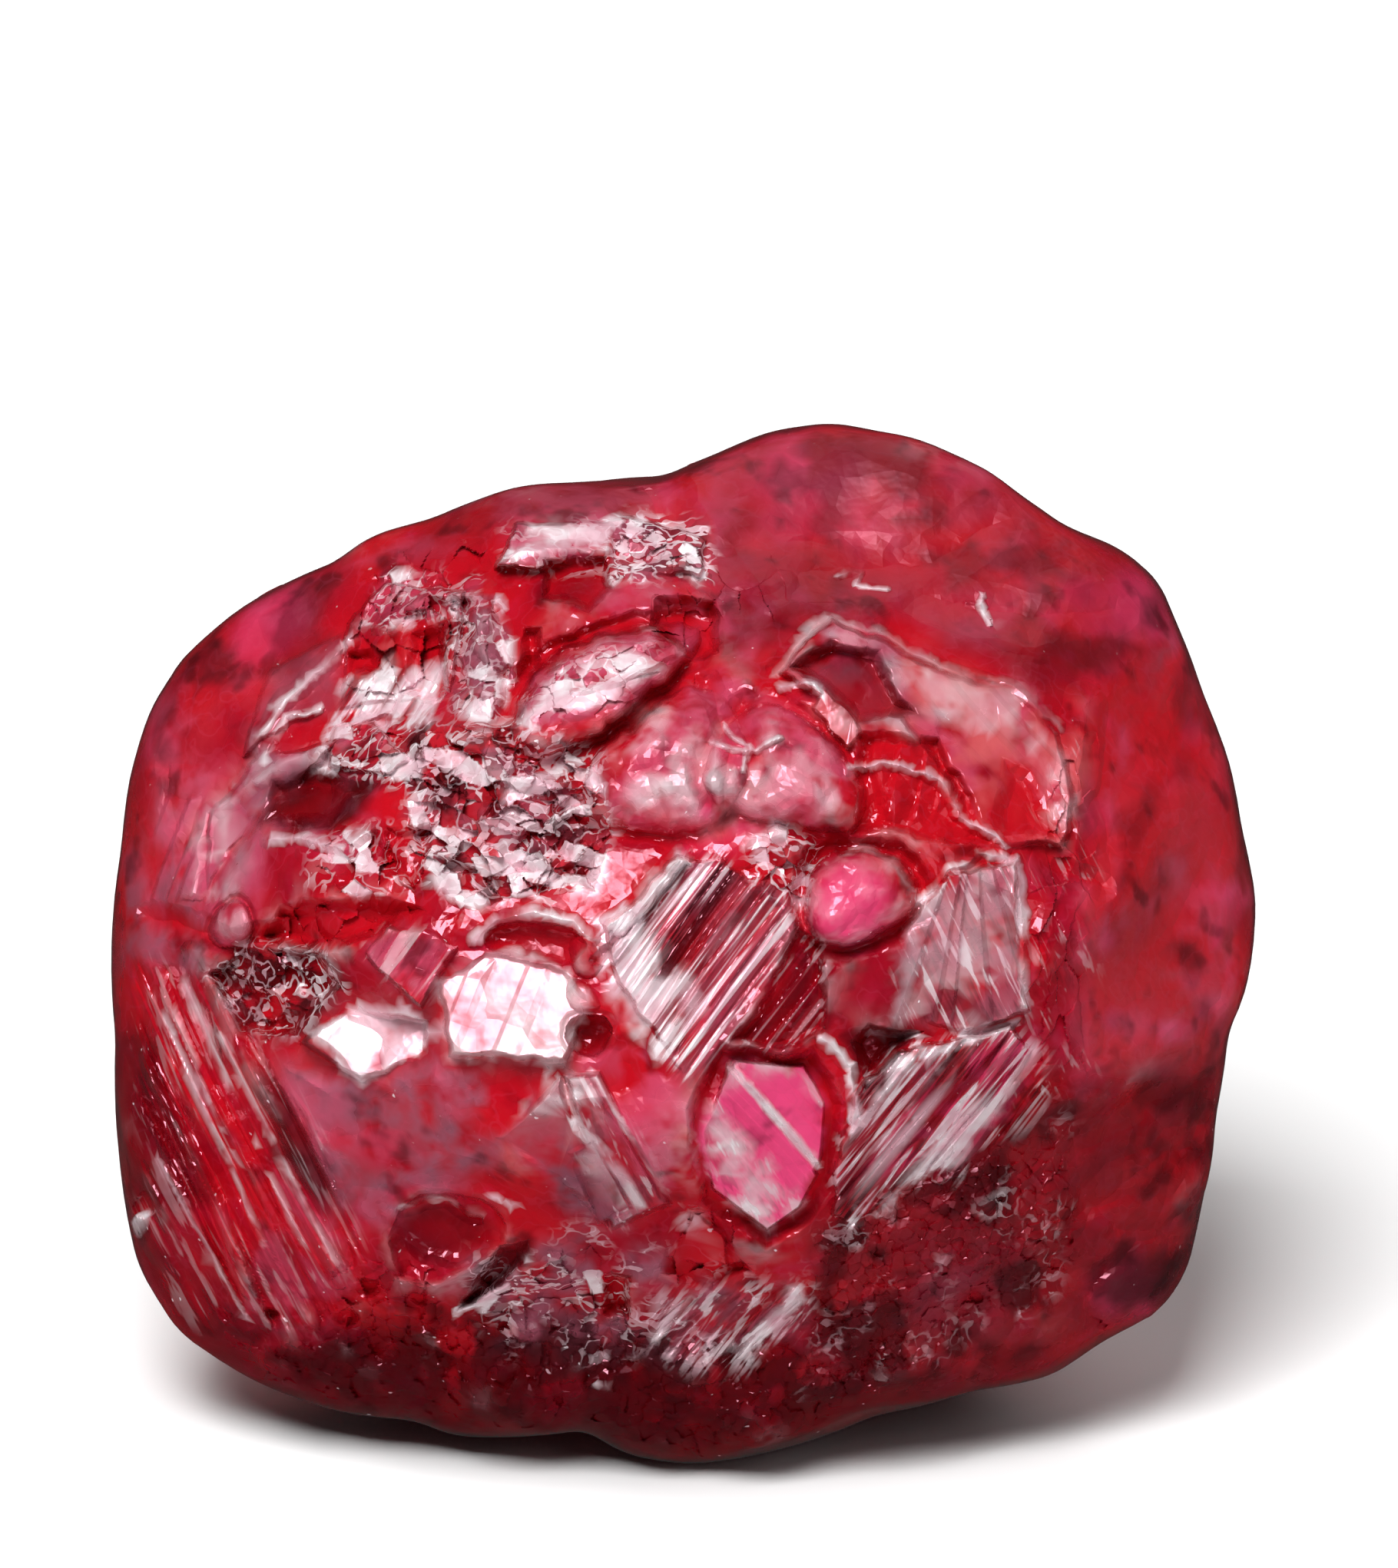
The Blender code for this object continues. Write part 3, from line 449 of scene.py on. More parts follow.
# The places of the front's forms.
BLOCK = [(-0.85, 0.25), (-0.05, 1.0), (0.4, 0.9), (1.15, 0.3), (0.45, -0.95), (0.05, -1.4), (-0.7, -0.4)]
FAN = [(2.4, 0.45), (2.7, 0.8), (3.4, 0.9), (3.45, 0.0), (3.6, -0.7), (2.9, -0.9), (2.1, -0.75)]
FAN_APEX = (3.0, 1.5)
WEDGE = [(1.5, -2.75), (1.75, -1.5), (2.2, -1.1), (3.4, -0.8), (3.6, -1.1), (2.9, -2.1), (1.7, -2.85)]
WEDGE_TAIL = [(3.0, -0.9), (3.6, -0.7), (3.85, -1.6), (3.1, -2.3), (2.4, -2.5), (2.7, -1.9)]
WING = [
    (0.95, 2.8), (1.5, 3.45), (2.3, 3.05), (3.4, 2.62), (3.9, 2.2), (4.1, 1.5), (3.95, 0.95),
    (3.2, 1.0), (2.7, 1.65), (2.2, 2.3), (1.6, 2.4),
]
WING_WINDOW = [(1.05, 2.85), (1.5, 3.2), (2.05, 3.05), (2.4, 2.4), (1.75, 2.2), (1.45, 2.6)]
LEDGE_BAR = [(1.3, 2.45), (1.5, 2.65), (1.85, 2.15), (1.65, 1.95)]
LEDGE = [(1.7, 1.2), (1.75, 2.2), (2.6, 2.15), (3.0, 1.5), (3.2, 1.0), (2.4, 1.05)]
CORNER_WINDOW = [(3.1, 1.0), (3.25, 1.95), (3.6, 1.8), (4.0, 0.95)]
BROW = [(-2.5, -0.35), (-2.05, 0.0), (-1.2, -0.25), (-0.95, -0.6), (-1.2, -1.2), (-2.4, -1.15)]
SIDE_BROW = [(-4.0, -1.0), (-3.5, -0.6), (-2.6, -0.75), (-2.6, -1.1), (-3.3, -1.4)]
WINDOW = [
    (0.5, -1.15), (1.25, -1.2), (1.45, -1.6), (1.45, -2.15), (1.2, -2.7), (0.85, -2.95),
    (0.28, -2.5), (0.2, -1.9),
]
WINDOW_MOAT = [
    (0.35, -1.0), (1.4, -1.0), (1.7, -1.6), (1.65, -2.4), (1.3, -2.85), (0.85, -3.15),
    (0.1, -2.65), (0.0, -1.7),
]
FLANK_PLATES = [
    (-5.75, -0.1), (-4.9, -0.25), (-4.3, -1.1), (-3.6, -2.2), (-3.3, -3.1), (-3.7, -4.0),
    (-4.4, -4.1), (-5.2, -3.0), (-5.7, -1.6),
]
PITTED_HOLLOW = [(-4.95, -0.3), (-4.6, 0.0), (-3.7, 0.0), (-3.5, -0.4), (-4.0, -0.95), (-4.6, -0.9)]
BOULDER = [(-1.75, 2.2), (-1.6, 2.75), (-0.9, 3.15), (-0.3, 3.25), (0.0, 3.0), (-0.4, 2.5), (-1.2, 2.15)]
CRYSTAL_HEAP = [(-2.9, 1.0), (-2.7, 2.3), (-1.6, 2.3), (-0.9, 1.9), (-0.7, 1.2), (-0.9, 0.6), (-2.3, 0.45)]
HEAP_RIGHT = [(-1.9, 2.2), (-1.0, 2.0), (-0.7, 1.2), (-0.9, 0.6), (-1.7, 0.5)]
KNOBBY_RIDGE = [(-2.45, 2.4), (-2.4, 3.6), (-1.9, 3.6), (-1.75, 2.7), (-1.9, 2.3)]
SILVER_LUMPS = [(-0.75, 3.75), (-0.75, 4.45), (-0.3, 4.4), (0.25, 4.3), (0.3, 3.85)]
RED_BLOCK = [(-3.6, 2.45), (-3.5, 3.4), (-3.1, 3.75), (-2.2, 3.7), (-2.4, 2.6)]
BLOCK_RIM = [(-3.4, 3.3), (-3.1, 3.85), (-2.1, 3.8), (-2.3, 3.4)]
BLOCK_FOOT = [(-3.6, 2.35), (-3.5, 2.8), (-2.55, 2.85), (-2.6, 2.35)]
TOP_LEDGE = [(-1.95, 3.9), (-1.8, 4.35), (-0.5, 4.5), (0.25, 4.2), (0.2, 3.8)]
TONGUE = [(-3.25, -0.15), (-3.0, 0.2), (-2.6, 0.25), (-2.3, 0.05), (-2.65, -0.65)]
RED_HOLLOW = [(-4.5, 0.0), (-4.2, 0.45), (-3.2, 0.6), (-2.6, 0.35), (-3.1, 0.05), (-3.5, -0.1)]
LEFT_ARCH = [(-5.0, 0.6), (-4.9, 1.5), (-4.4, 2.0), (-3.5, 2.15), (-4.2, 1.4)]
BLADE = [(-4.6, 1.9), (-4.3, 2.9), (-3.5, 3.3), (-3.6, 2.5), (-4.0, 2.3)]
ARCH_HOLLOW = [(-4.45, 1.2), (-4.3, 1.75), (-3.8, 1.85), (-3.1, 1.7), (-3.6, 1.15)]
ROSE_LUMP = [(-0.8, 1.3), (-0.3, 2.5), (0.5, 2.75), (1.3, 2.4), (1.75, 1.8), (1.2, 1.15), (0.1, 1.1)]
FACET_LEFT = [(-1.25, -1.3), (-1.95, -1.95), (-1.3, -2.4), (-0.75, -2.95)]
FACET_RIGHT = [(-1.25, -1.3), (-0.85, -1.25), (-0.1, -2.65), (-0.75, -2.95)]
SMOOTH_FACE = [(-4.2, -1.2), (-2.5, -1.2), (-2.0, -2.2), (-2.8, -2.8), (-3.5, -3.0)]
SLOT = [(-2.4, -3.85), (-1.95, -3.05), (-1.6, -2.95), (-1.65, -3.2), (-2.15, -3.75)]
FOLDS = [(-0.3, -3.6), (1.2, -3.5), (1.3, -3.9), (0.5, -4.45), (-0.3, -4.2)]
TOP_SLOPE = [(-0.5, 3.9), (-0.3, 4.95), (1.5, 5.5), (3.2, 5.0), (5.2, 3.4), (4.4, 2.7), (1.8, 3.5)]
LEFT_SLOPE = [
    (-5.9, 0.5), (-5.6, 2.4), (-5.0, 3.3), (-3.6, 4.05), (-2.0, 4.6), (-0.4, 4.9), (-0.7, 4.5),
    (-2.0, 4.3), (-3.4, 3.8), (-4.6, 2.6), (-5.1, 0.9),
]
RIGHT_FLANK = [(4.05, -1.3), (4.15, 2.4), (4.5, 3.2), (5.3, 3.3), (6.0, 0.6), (5.7, -1.4)]
RIGHT_SEAM = [(3.55, -1.6), (3.5, 0.9), (4.0, 2.2), (4.35, 2.2), (4.15, -1.6)]
LOWER_SLOPE = [
    (1.3, -2.9), (2.5, -2.3), (3.9, -1.5), (5.6, -1.2), (5.5, -3.4), (5.0, -3.8), (3.4, -4.6), (1.2, -4.9),
]
ROUGH_SLOPE = [(1.3, -2.9), (2.5, -2.3), (4.0, -1.8), (4.2, -3.4), (2.6, -4.4), (1.2, -4.7)]
FOOT = [
    (-5.0, -3.6), (-4.2, -4.1), (-2.6, -3.8), (1.4, -4.1), (2.8, -4.2), (1.5, -5.1), (0.0, -5.5),
    (-2.6, -5.2), (-4.6, -4.6),
]
SHARP_FRONT = [
    (-5.2, -3.6), (-5.7, -1.0), (-5.5, 1.5), (-4.3, 3.0), (-2.0, 4.3), (0.2, 4.3), (1.8, 3.6), (4.1, 2.6),
    (4.1, -2.0), (2.8, -4.4), (0.0, -5.0), (-3.0, -4.7),
]
ARCH_CORNER = [(-3.8, 1.8), (-3.6, 2.4), (-2.7, 2.3), (-2.7, 1.6)]
BLOCK_SIDE = [(0.45, -1.0), (1.1, 0.2), (1.45, 0.0), (1.5, -0.85), (0.9, -1.1)]
BLOCK_HEAD = [(0.5, 0.75), (0.9, 1.3), (1.4, 1.1), (1.2, 0.4)]
ROUGH_FOOT = [(-2.2, -3.4), (-0.9, -3.0), (-0.3, -4.5), (-2.0, -4.7)]
LEDGE_HOLLOW = [(-1.5, 3.6), (-1.45, 4.02), (-0.8, 4.05), (-0.7, 3.7), (-1.0, 3.45)]
NODULE_FOOT = [(-3.9, 0.6), (-3.7, 1.1), (-3.1, 1.3), (-2.9, 0.8), (-3.2, 0.5)]
WEDGE_NOTCH = [(1.75, -1.0), (1.9, -1.45), (2.2, -1.1), (2.5, -0.9), (1.9, -0.8)]
LOW_PLATES = [(-5.7, -3.3), (-5.7, -2.2), (-5.2, -2.2), (-4.3, -3.8), (-5.0, -4.1)]
WINDOW_FOOT = [(0.3, -1.7), (1.2, -2.65), (0.85, -2.95), (0.28, -2.5)]
# Crests and splinters, as lines.
SPLINTER = [(1.6, 3.85), (1.85, 3.88), (1.8, 3.76), (2.1, 3.7)]
SHORT_SPLINTER = [(3.1, 3.62), (3.05, 3.5), (3.14, 3.3)]
LEDGE_RIDGE = [(-1.85, 4.0), (-1.4, 4.12), (-0.8, 4.1)]
BLADE_RIDGE = [(-4.4, 2.05), (-4.1, 2.6), (-3.45, 3.2)]
ARCH_RIDGE = [(-4.4, 1.85), (-4.1, 2.35), (-3.75, 2.5)]
LUMP_RIDGE = [(0.3, 2.1), (0.75, 2.0), (1.0, 2.15)]
LUMP_CROSS_RIDGE = [(0.45, 2.3), (0.7, 2.05), (0.65, 1.8)]
BROW_RIDGE = [(-2.15, 0.12), (-1.95, 0.3), (-1.5, 0.38), (-1.1, 0.3), (-0.95, 0.1)]
WINDOW_SILL = [(1.0, 2.66), (1.35, 2.7), (1.5, 2.5)]
LEDGE_CREST = [(1.7, 1.85), (2.2, 1.85), (2.6, 1.7), (2.85, 1.35), (3.3, 1.0)]
FAN_HEAD = [(2.4, 0.48), (2.7, 0.82), (3.05, 0.95), (3.4, 0.88)]
FAN_SIDE = [(3.4, 0.88), (3.47, 0.2), (3.55, -0.6)]
SLOT_LIP = [(-1.85, -3.5), (-2.1, -3.7), (-2.35, -3.8)]
FLANK_SPLINTER = [(-5.72, -2.86), (-5.55, -2.78)]


def work_front(front):
    front.knobs(SHARP_FRONT, 0.5, 0.05, 100, 0.3)
    front.knobs(SHARP_FRONT, 0.2, 0.025, 101, 0.3)
    upper_slopes(front)
    upper_left(front)
    middle(front)
    right(front)
    lower_left(front)
    lower_right(front)


def upper_slopes(front):
    # Soft knobs and shallow valleys where the stone falls away to the top and the upper left.
    front.groove([(-0.4, 4.8), (-0.1, 4.2), (0.4, 3.6)], 0.45, 0.2)
    front.groove([(3.2, 4.4), (2.6, 3.95), (1.2, 3.9)], 0.35, 0.12)
    front.groove([(4.5, 3.5), (3.6, 3.35), (2.5, 3.6)], 0.3, 0.1)
    front.ripple(TOP_SLOPE, 0.7, 0.03, 91, 0.3)
    front.ripple(TOP_SLOPE, 0.22, 0.008, 92, 0.3)
    front.knobs(LEFT_SLOPE, 0.6, 0.12, 93, 0.3)
    front.chips([(0.2, 3.5), (0.3, 4.1), (1.0, 4.2), (1.2, 3.8), (1.0, 3.3)], 0.4, 0.2, 91)
    front.chips([(-3.4, 3.7), (-3.0, 4.1), (-2.0, 4.3), (-1.9, 3.9), (-2.4, 3.7)], 0.3, 0.35, 94)
    front.groove(SPLINTER, 0.05, -0.06)
    front.groove(SHORT_SPLINTER, 0.05, -0.07)
    front.groove([(2.95, 3.52), (3.1, 3.5)], 0.05, -0.05)


def upper_left(front):
    # The top ledge over its hollow, and the block with two windows.
    front.plate(TOP_LEDGE, 0.12, (0, 0.16), grown=True)
    front.knobs(TOP_LEDGE, 0.4, 0.2, 111)
    front.sink(LEDGE_HOLLOW, 0.28)
    front.plate(RED_BLOCK, 0.14, (0.05, 0.16), grown=True)
    front.sink([(-2.95, 2.65), (-2.85, 3.25), (-2.45, 3.35), (-2.42, 2.6), (-2.6, 2.5)], 0.26)
    front.sink([(-3.55, 2.8), (-3.5, 3.1), (-3.2, 3.15), (-3.1, 2.85)], 0.18)
    front.chips(RED_BLOCK, 0.3, 0.5, 112)
    front.groove([(-2.1, 3.6), (-2.05, 2.9), (-2.2, 2.3)], 0.3, -0.2)
    front.sink([(-1.75, 2.75), (-1.7, 3.3), (-1.45, 3.3), (-1.5, 2.8)], 0.25)
    front.knobs(KNOBBY_RIDGE, 0.3, 0.26, 95, 0.08)
    front.chips(KNOBBY_RIDGE, 0.15, 0.6, 96)
    front.knobs(SILVER_LUMPS, 0.34, 0.26, 97, 0.08)
    front.chips(SILVER_LUMPS, 0.16, 0.5, 98)
    front.steps(BLOCK_FOOT, 62, 0.16, 0.1, 97)
    front.chips(BLOCK_RIM, 0.26, 0.7, 99)
    front.groove([(-3.15, 3.3), (-2.9, 3.45), (-2.6, 3.6), (-2.15, 3.62)], 0.09, -0.1)
    front.groove(LEDGE_RIDGE, 0.1, -0.1)
    # The boulder and the gap at its upper end.
    front.lump((-0.88, 2.7), (1.0, 0.52), 26, 0.4, 0.2, 0.1)
    front.knobs(BOULDER, 0.34, 0.12, 118)
    front.chips(BOULDER, 0.2, 0.4, 99, stretch=1.5, turn=26)
    front.groove([(-1.35, 2.85), (-0.8, 3.1), (-0.2, 3.12)], 0.07, -0.07)
    front.groove([(-1.1, 2.6), (-0.55, 2.75), (-0.1, 3.0)], 0.06, -0.06)
    front.sink([(-0.4, 3.3), (-0.3, 3.65), (0.35, 3.6), (0.35, 3.0), (0.1, 2.9)], 0.3)
    front.chips([(-0.4, 3.2), (-0.35, 3.7), (0.4, 3.7), (0.4, 3.1), (0.1, 2.9)], 0.2, 0.7, 90)
    # Two arched plates, the lower one with a hollow inside it.
    front.plate(BLADE, 0.08, (-0.22, 0.12), grown=True)
    front.groove(BLADE_RIDGE, 0.12, -0.14)
    front.groove(ARCH_RIDGE, 0.06, -0.08)
    front.plate(LEFT_ARCH, 0.12, (-0.1, 0.2), grown=True)
    front.groove([(-5.1, 0.6), (-4.95, 1.35), (-4.5, 1.75), (-3.9, 1.98), (-3.2, 2.15)], 0.14, -0.1)
    front.sink(ARCH_HOLLOW, 0.26, 0.2)
    front.knobs(ARCH_HOLLOW, 0.3, 0.12, 113)
    front.groove([(-4.3, 1.05), (-3.9, 1.1), (-3.5, 1.02), (-3.2, 1.25)], 0.1, -0.12)
    front.plate([(-3.7, 1.85), (-3.6, 2.3), (-3.2, 2.35), (-2.75, 1.9), (-3.0, 1.75)],
                0.16, (0, -0.15), grown=True)
    front.chips(ARCH_CORNER, 0.24, 0.5, 114)
    front.lump((-3.2, 2.27), (0.22, 0.1), 25, -0.14)
    front.steps([(-5.6, 0.4), (-5.5, 1.6), (-5.0, 1.6), (-5.0, 0.5)], 70, 0.16, 0.06, 89)


def middle(front):
    # The heap of small sharp crystals, with blades among them.
    front.chips(CRYSTAL_HEAP, 0.5, 0.45, 3)
    front.chips(CRYSTAL_HEAP, 0.17, 0.9, 4, stretch=2.0, turn=-20)
    front.chips(HEAP_RIGHT, 0.14, 0.8, 6, stretch=2.6, turn=35)
    for start, end in (
        ((-2.05, 1.3), (-1.75, 1.95)), ((-2.8, 1.25), (-2.3, 1.75)), ((-1.7, 1.15), (-1.1, 1.4)),
        ((-2.5, 0.95), (-1.9, 0.75)), ((-2.3, 2.1), (-1.7, 2.25)), ((-1.45, 0.7), (-0.95, 1.05)),
    ):
        front.groove([start, end], 0.06, -0.1)
    # The rose coloured lump, in two halves with a fold between them.
    front.lump((-0.1, 1.85), (0.82, 0.72), 35, 0.32, 0.12, 0.1)
    front.lump((1.0, 1.8), (0.72, 0.64), -35, 0.3, 0.12, 0.12)
    front.groove([(0.25, 2.7), (0.5, 2.1), (0.42, 1.2)], 0.14, 0.12)
    front.knobs(ROSE_LUMP, 0.5, 0.16, 8)
    front.knobs(ROSE_LUMP, 0.2, 0.045, 9)
    front.groove(LUMP_RIDGE, 0.05, -0.07)
    front.groove(LUMP_CROSS_RIDGE, 0.05, -0.06)
    # The valley across the left half, with the small crystal, the nodule and the tongue beside it.
    front.groove([(-5.5, 0.3), (-5.3, 0.28), (-4.7, 0.0), (-4.3, 0.1)], 0.2, 0.2)
    front.sink(RED_HOLLOW, 0.36, 0.2)
    front.chips(RED_HOLLOW, 0.24, 0.5, 10)
    front.sink([(-3.15, 0.85), (-3.05, 1.25), (-2.5, 1.3), (-2.75, 0.5)], 0.25)
    front.lump((-2.85, 0.92), (0.17, 0.32), 10, 0.2)
    front.lump((-4.7, 0.22), (0.28, 0.24), 35, 0.24, 0.08)
    front.plate(TONGUE, 0.14, (0.0, -0.2), grown=True)
    front.steps(TONGUE, 60, 0.1, 0.03, 12)
    front.chips(NODULE_FOOT, 0.2, 0.8, 14)
    # The pitted hollow at the left.
    front.sink(PITTED_HOLLOW, 0.22)
    front.chips(PITTED_HOLLOW, 0.3, 0.5, 5)
    front.pebbles(PITTED_HOLLOW, 0.26, -0.14, 7)
    # The bright brow: two polished faces, with an oval pit over them and a round one beside.
    front.plate(SIDE_BROW, 0.08, slope=(0.22, -0.3), edge=0.07)
    front.knobs(SIDE_BROW, 0.4, 0.05, 15)
    front.plate(BROW, 0.09, slope=(0.18, -0.3), edge=0.07)
    front.knobs(BROW, 0.5, 0.05, 16)
    front.steps(BROW, 65, 0.3, 0.008, 119)
    front.groove(BROW_RIDGE, 0.1, -0.1)
    front.lump((-1.5, 0.05), (0.5, 0.24), -5, -0.25)
    front.lump((-1.0, -0.1), (0.16, 0.2), 0, 0.12)
    front.lump((-1.05, -0.5), (0.14, 0.18), 30, 0.1)
    front.lump((-0.98, -0.9), (0.25, 0.22), 0, -0.34, 0.04, 0)
    # The stepped block in the middle.
    front.plate(BLOCK, 0.13, (-0.2, 0.12), grown=True)
    front.steps(BLOCK, 55, 0.3, 0.13, 11)
    front.steps(BLOCK, 54, 0.1, 0.04, 18)
    front.groove([(-0.7, 0.28), (0.0, 0.95)], 0.16, -0.12)
    front.groove([(-0.9, -0.12), (-0.4, 0.4), (0.05, 0.88)], 0.06, 0.14)
    front.sink(BLOCK_SIDE, 0.24)
    front.steps(BLOCK_SIDE, 52, 0.15, 0.07, 19)
    front.chips(BLOCK_HEAD, 0.2, 0.7, 20)


def right(front):
    # The great wing-shaped face, its deep window and the ledge under it.
    front.plate(WING, 0.15, (-0.05, 0.08), 0.08)
    front.knobs(WING, 0.7, 0.07, 21)
    front.knobs(WING, 0.25, 0.018, 120)
    front.steps(WING, -50, 0.35, 0.02, 121)
    front.groove([(0.9, 2.85), (1.45, 3.42), (1.75, 3.36), (2.3, 3.05), (3.4, 2.64), (3.9, 2.25)],
                 0.07, -0.06)
    front.sink(WING_WINDOW, 0.4, 0.16)
    front.groove(WINDOW_SILL, 0.08, -0.1)
    front.plate(LEDGE_BAR, 0.12, (0.1, 0), 0.04)
    front.sink(LEDGE, 0.22)
    front.steps([(1.75, 1.3), (1.8, 2.15), (2.55, 2.1), (2.9, 1.5), (2.4, 1.2)], 80, 0.2, 0.06, 22)
    front.knobs(LEDGE, 0.3, 0.08, 116)
    front.groove(LEDGE_CREST, 0.08, -0.12)
    front.sink(CORNER_WINDOW, 0.12, 0.2)
    # The round lump under it and the fan-shaped face.
    front.lump((1.75, 0.5), (0.56, 0.55), 0, 0.3, 0.24)
    front.knobs([(1.2, 0.0), (1.2, 1.0), (2.3, 1.0), (2.3, 0.0)], 0.4, 0.12, 24)
    front.plate(FAN, 0.08, (0.2, 0.12), grown=True)
    front.fanned_steps(FAN, FAN_APEX, 0.13, 0.06, 13)
    front.groove(FAN_HEAD, 0.06, -0.06)
    front.groove(FAN_SIDE, 0.08, -0.1)
    # The stepped wedge and the dark notch at its head.
    front.plate(WEDGE, 0.1, (-0.15, 0.2), grown=True)
    front.steps(WEDGE, 51, 0.28, 0.12, 17)
    front.steps(WEDGE, 50, 0.1, 0.04, 25)
    front.sink(WEDGE_NOTCH, 0.34)
    front.groove([(1.45, -0.95), (1.75, -1.25), (1.8, -1.75)], 0.1, -0.12)
    front.steps(WEDGE_TAIL, 56, 0.18, 0.07, 26)
    # Ridges that run down the right edge of the front, and the mottled flank.
    front.groove([(4.15, 2.5), (4.05, 0.9), (3.75, 0.4), (3.75, -1.3)], 0.25, -0.1)
    front.chips(RIGHT_SEAM, 0.22, 0.35, 27, stretch=2.2, turn=85)
    front.groove([(3.9, 0.75), (4.15, 0.7), (4.3, 0.6)], 0.16, 0.16)
    front.knobs(RIGHT_FLANK, 0.42, 0.08, 28, 0.3, stretch=1.8, turn=82)
    front.ripple(RIGHT_FLANK, 0.2, 0.01, 29, 0.3)


def lower_left(front):
    # Thick plates down the left flank, then the smooth face and the two facets right of it.
    front.steps(FLANK_PLATES, -65, 0.42, 0.17, 23)
    front.steps(FLANK_PLATES, -64, 0.11, 0.04, 30)
    front.plate(SMOOTH_FACE, 0.05, edge=0.4)
    front.knobs(SMOOTH_FACE, 0.5, 0.06, 115)
    front.steps([(-4.7, -2.2), (-3.7, -2.5), (-3.2, -3.4), (-3.7, -4.1), (-4.5, -3.9)], -60, 0.12, 0.045, 32)
    front.straighten(0.8)
    front.plate(FACET_LEFT, 0.06, (0.2, 0.05), 0.08)
    front.plate(FACET_RIGHT, 0.1, (-0.25, -0.05), 0.08)
    front.steps([(-1.0, -1.4), (-0.8, -1.3), (-0.15, -2.6), (-0.5, -2.8)], -60, 0.12, 0.045, 33)
    front.groove([(-1.15, -1.55), (-0.8, -2.2), (-0.45, -2.75)], 0.07, -0.06)
    front.plate([(-1.2, -2.1), (-0.9, -1.95), (-0.5, -2.7), (-0.9, -2.9)], -0.06, (-0.1, 0), 0.06)
    front.straighten(0)
    # The crescent pit, the slot and the rough foot.
    front.lump((-2.5, -3.0), (0.62, 0.46), 20, -0.24, -0.08)
    front.groove([(-3.0, -3.0), (-2.7, -3.25), (-2.3, -3.25), (-2.0, -3.0)], 0.1, -0.08)
    front.groove([(-2.9, -2.75), (-2.5, -2.6), (-2.15, -2.8)], 0.08, 0.08)
    front.sink(SLOT, 0.4)
    front.groove(SLOT_LIP, 0.06, -0.1)
    front.sink([(-0.9, -3.5), (-0.75, -3.35), (-0.5, -3.4), (-0.6, -3.9), (-0.9, -3.9)], 0.34)
    front.knobs([(-4.4, -3.6), (-2.6, -3.3), (-2.3, -4.6), (-4.2, -4.6)], 0.34, 0.16, 29)
    front.chips([(-3.7, -3.3), (-2.6, -3.2), (-2.3, -4.4), (-3.6, -4.4)], 0.17, 0.5, 34)
    front.knobs(ROUGH_FOOT, 0.42, 0.2, 31)
    front.chips(ROUGH_FOOT, 0.2, 0.35, 35)
    for place, size in (((-3.3, -3.6), 0.12), ((-3.5, -3.9), 0.1), ((-2.8, -3.6), 0.1), ((-4.3, -3.9), 0.08)):
        front.lump(place, (size, size * 0.8), 0, -0.14, 0.03)
    front.lump((-5.6, -2.7), (0.16, 0.12), 30, -0.15)
    front.groove(FLANK_SPLINTER, 0.05, -0.06)
    front.steps(LOW_PLATES, -62, 0.2, 0.07, 36)


def lower_right(front):
    # The window crystal in its moat, with a ridge from corner to corner.
    front.sink(WINDOW_MOAT, 0.3, 0.16)
    front.straighten(0.8)
    front.plate(WINDOW, 0.2, edge=0.06)
    front.plate([(0.5, -1.15), (1.25, -1.2), (1.45, -1.6), (1.42, -2.3)], -0.02, (-0.2, -0.1), 0.04)
    front.plate([(0.45, -1.2), (1.4, -2.35), (1.2, -2.7), (0.85, -2.95), (0.28, -2.5), (0.2, -1.9)],
                -0.02, (0.15, 0.08), 0.04)
    front.groove([(0.5, -1.2), (1.4, -2.3)], 0.06, -0.06)
    front.steps(WINDOW, -47, 0.13, 0.02, 38)
    front.knobs(WINDOW, 0.3, 0.03, 117)
    front.straighten(0)
    front.sink([(-0.3, -3.3), (0.0, -2.6), (0.3, -2.7), (0.75, -3.4), (0.3, -3.6)], 0.14)
    front.chips([(-0.3, -3.4), (0.0, -2.6), (0.5, -2.7), (0.8, -3.4), (0.3, -3.6)], 0.3, 0.5, 45)
    front.plate([(-0.15, -3.2), (0.05, -2.65), (0.45, -3.0), (0.5, -3.35)], 0.1, (0.2, 0), 0.05, grown=True)
    # Folds at the foot, and the rough lower right slope.
    front.steps(FOLDS, 48, 0.3, 0.14, 37)
    front.steps(FOLDS, 40, 0.12, 0.05, 39)
    front.knobs(LOWER_SLOPE, 0.5, 0.2, 41, 0.2, stretch=1.4, turn=55)
    front.knobs(LOWER_SLOPE, 0.2, 0.07, 42, 0.2, stretch=1.5, turn=50)
    front.chips(ROUGH_SLOPE, 0.11, 0.4, 44)
    front.knobs(FOOT, 0.4, 0.12, 43)
    front.chips(FOOT, 0.13, 0.35, 46)


# A lump that is worn has an uneven outline, and hardly a groove round its foot.
WORN = {"moat": 0.02, "uneven": 0.25}


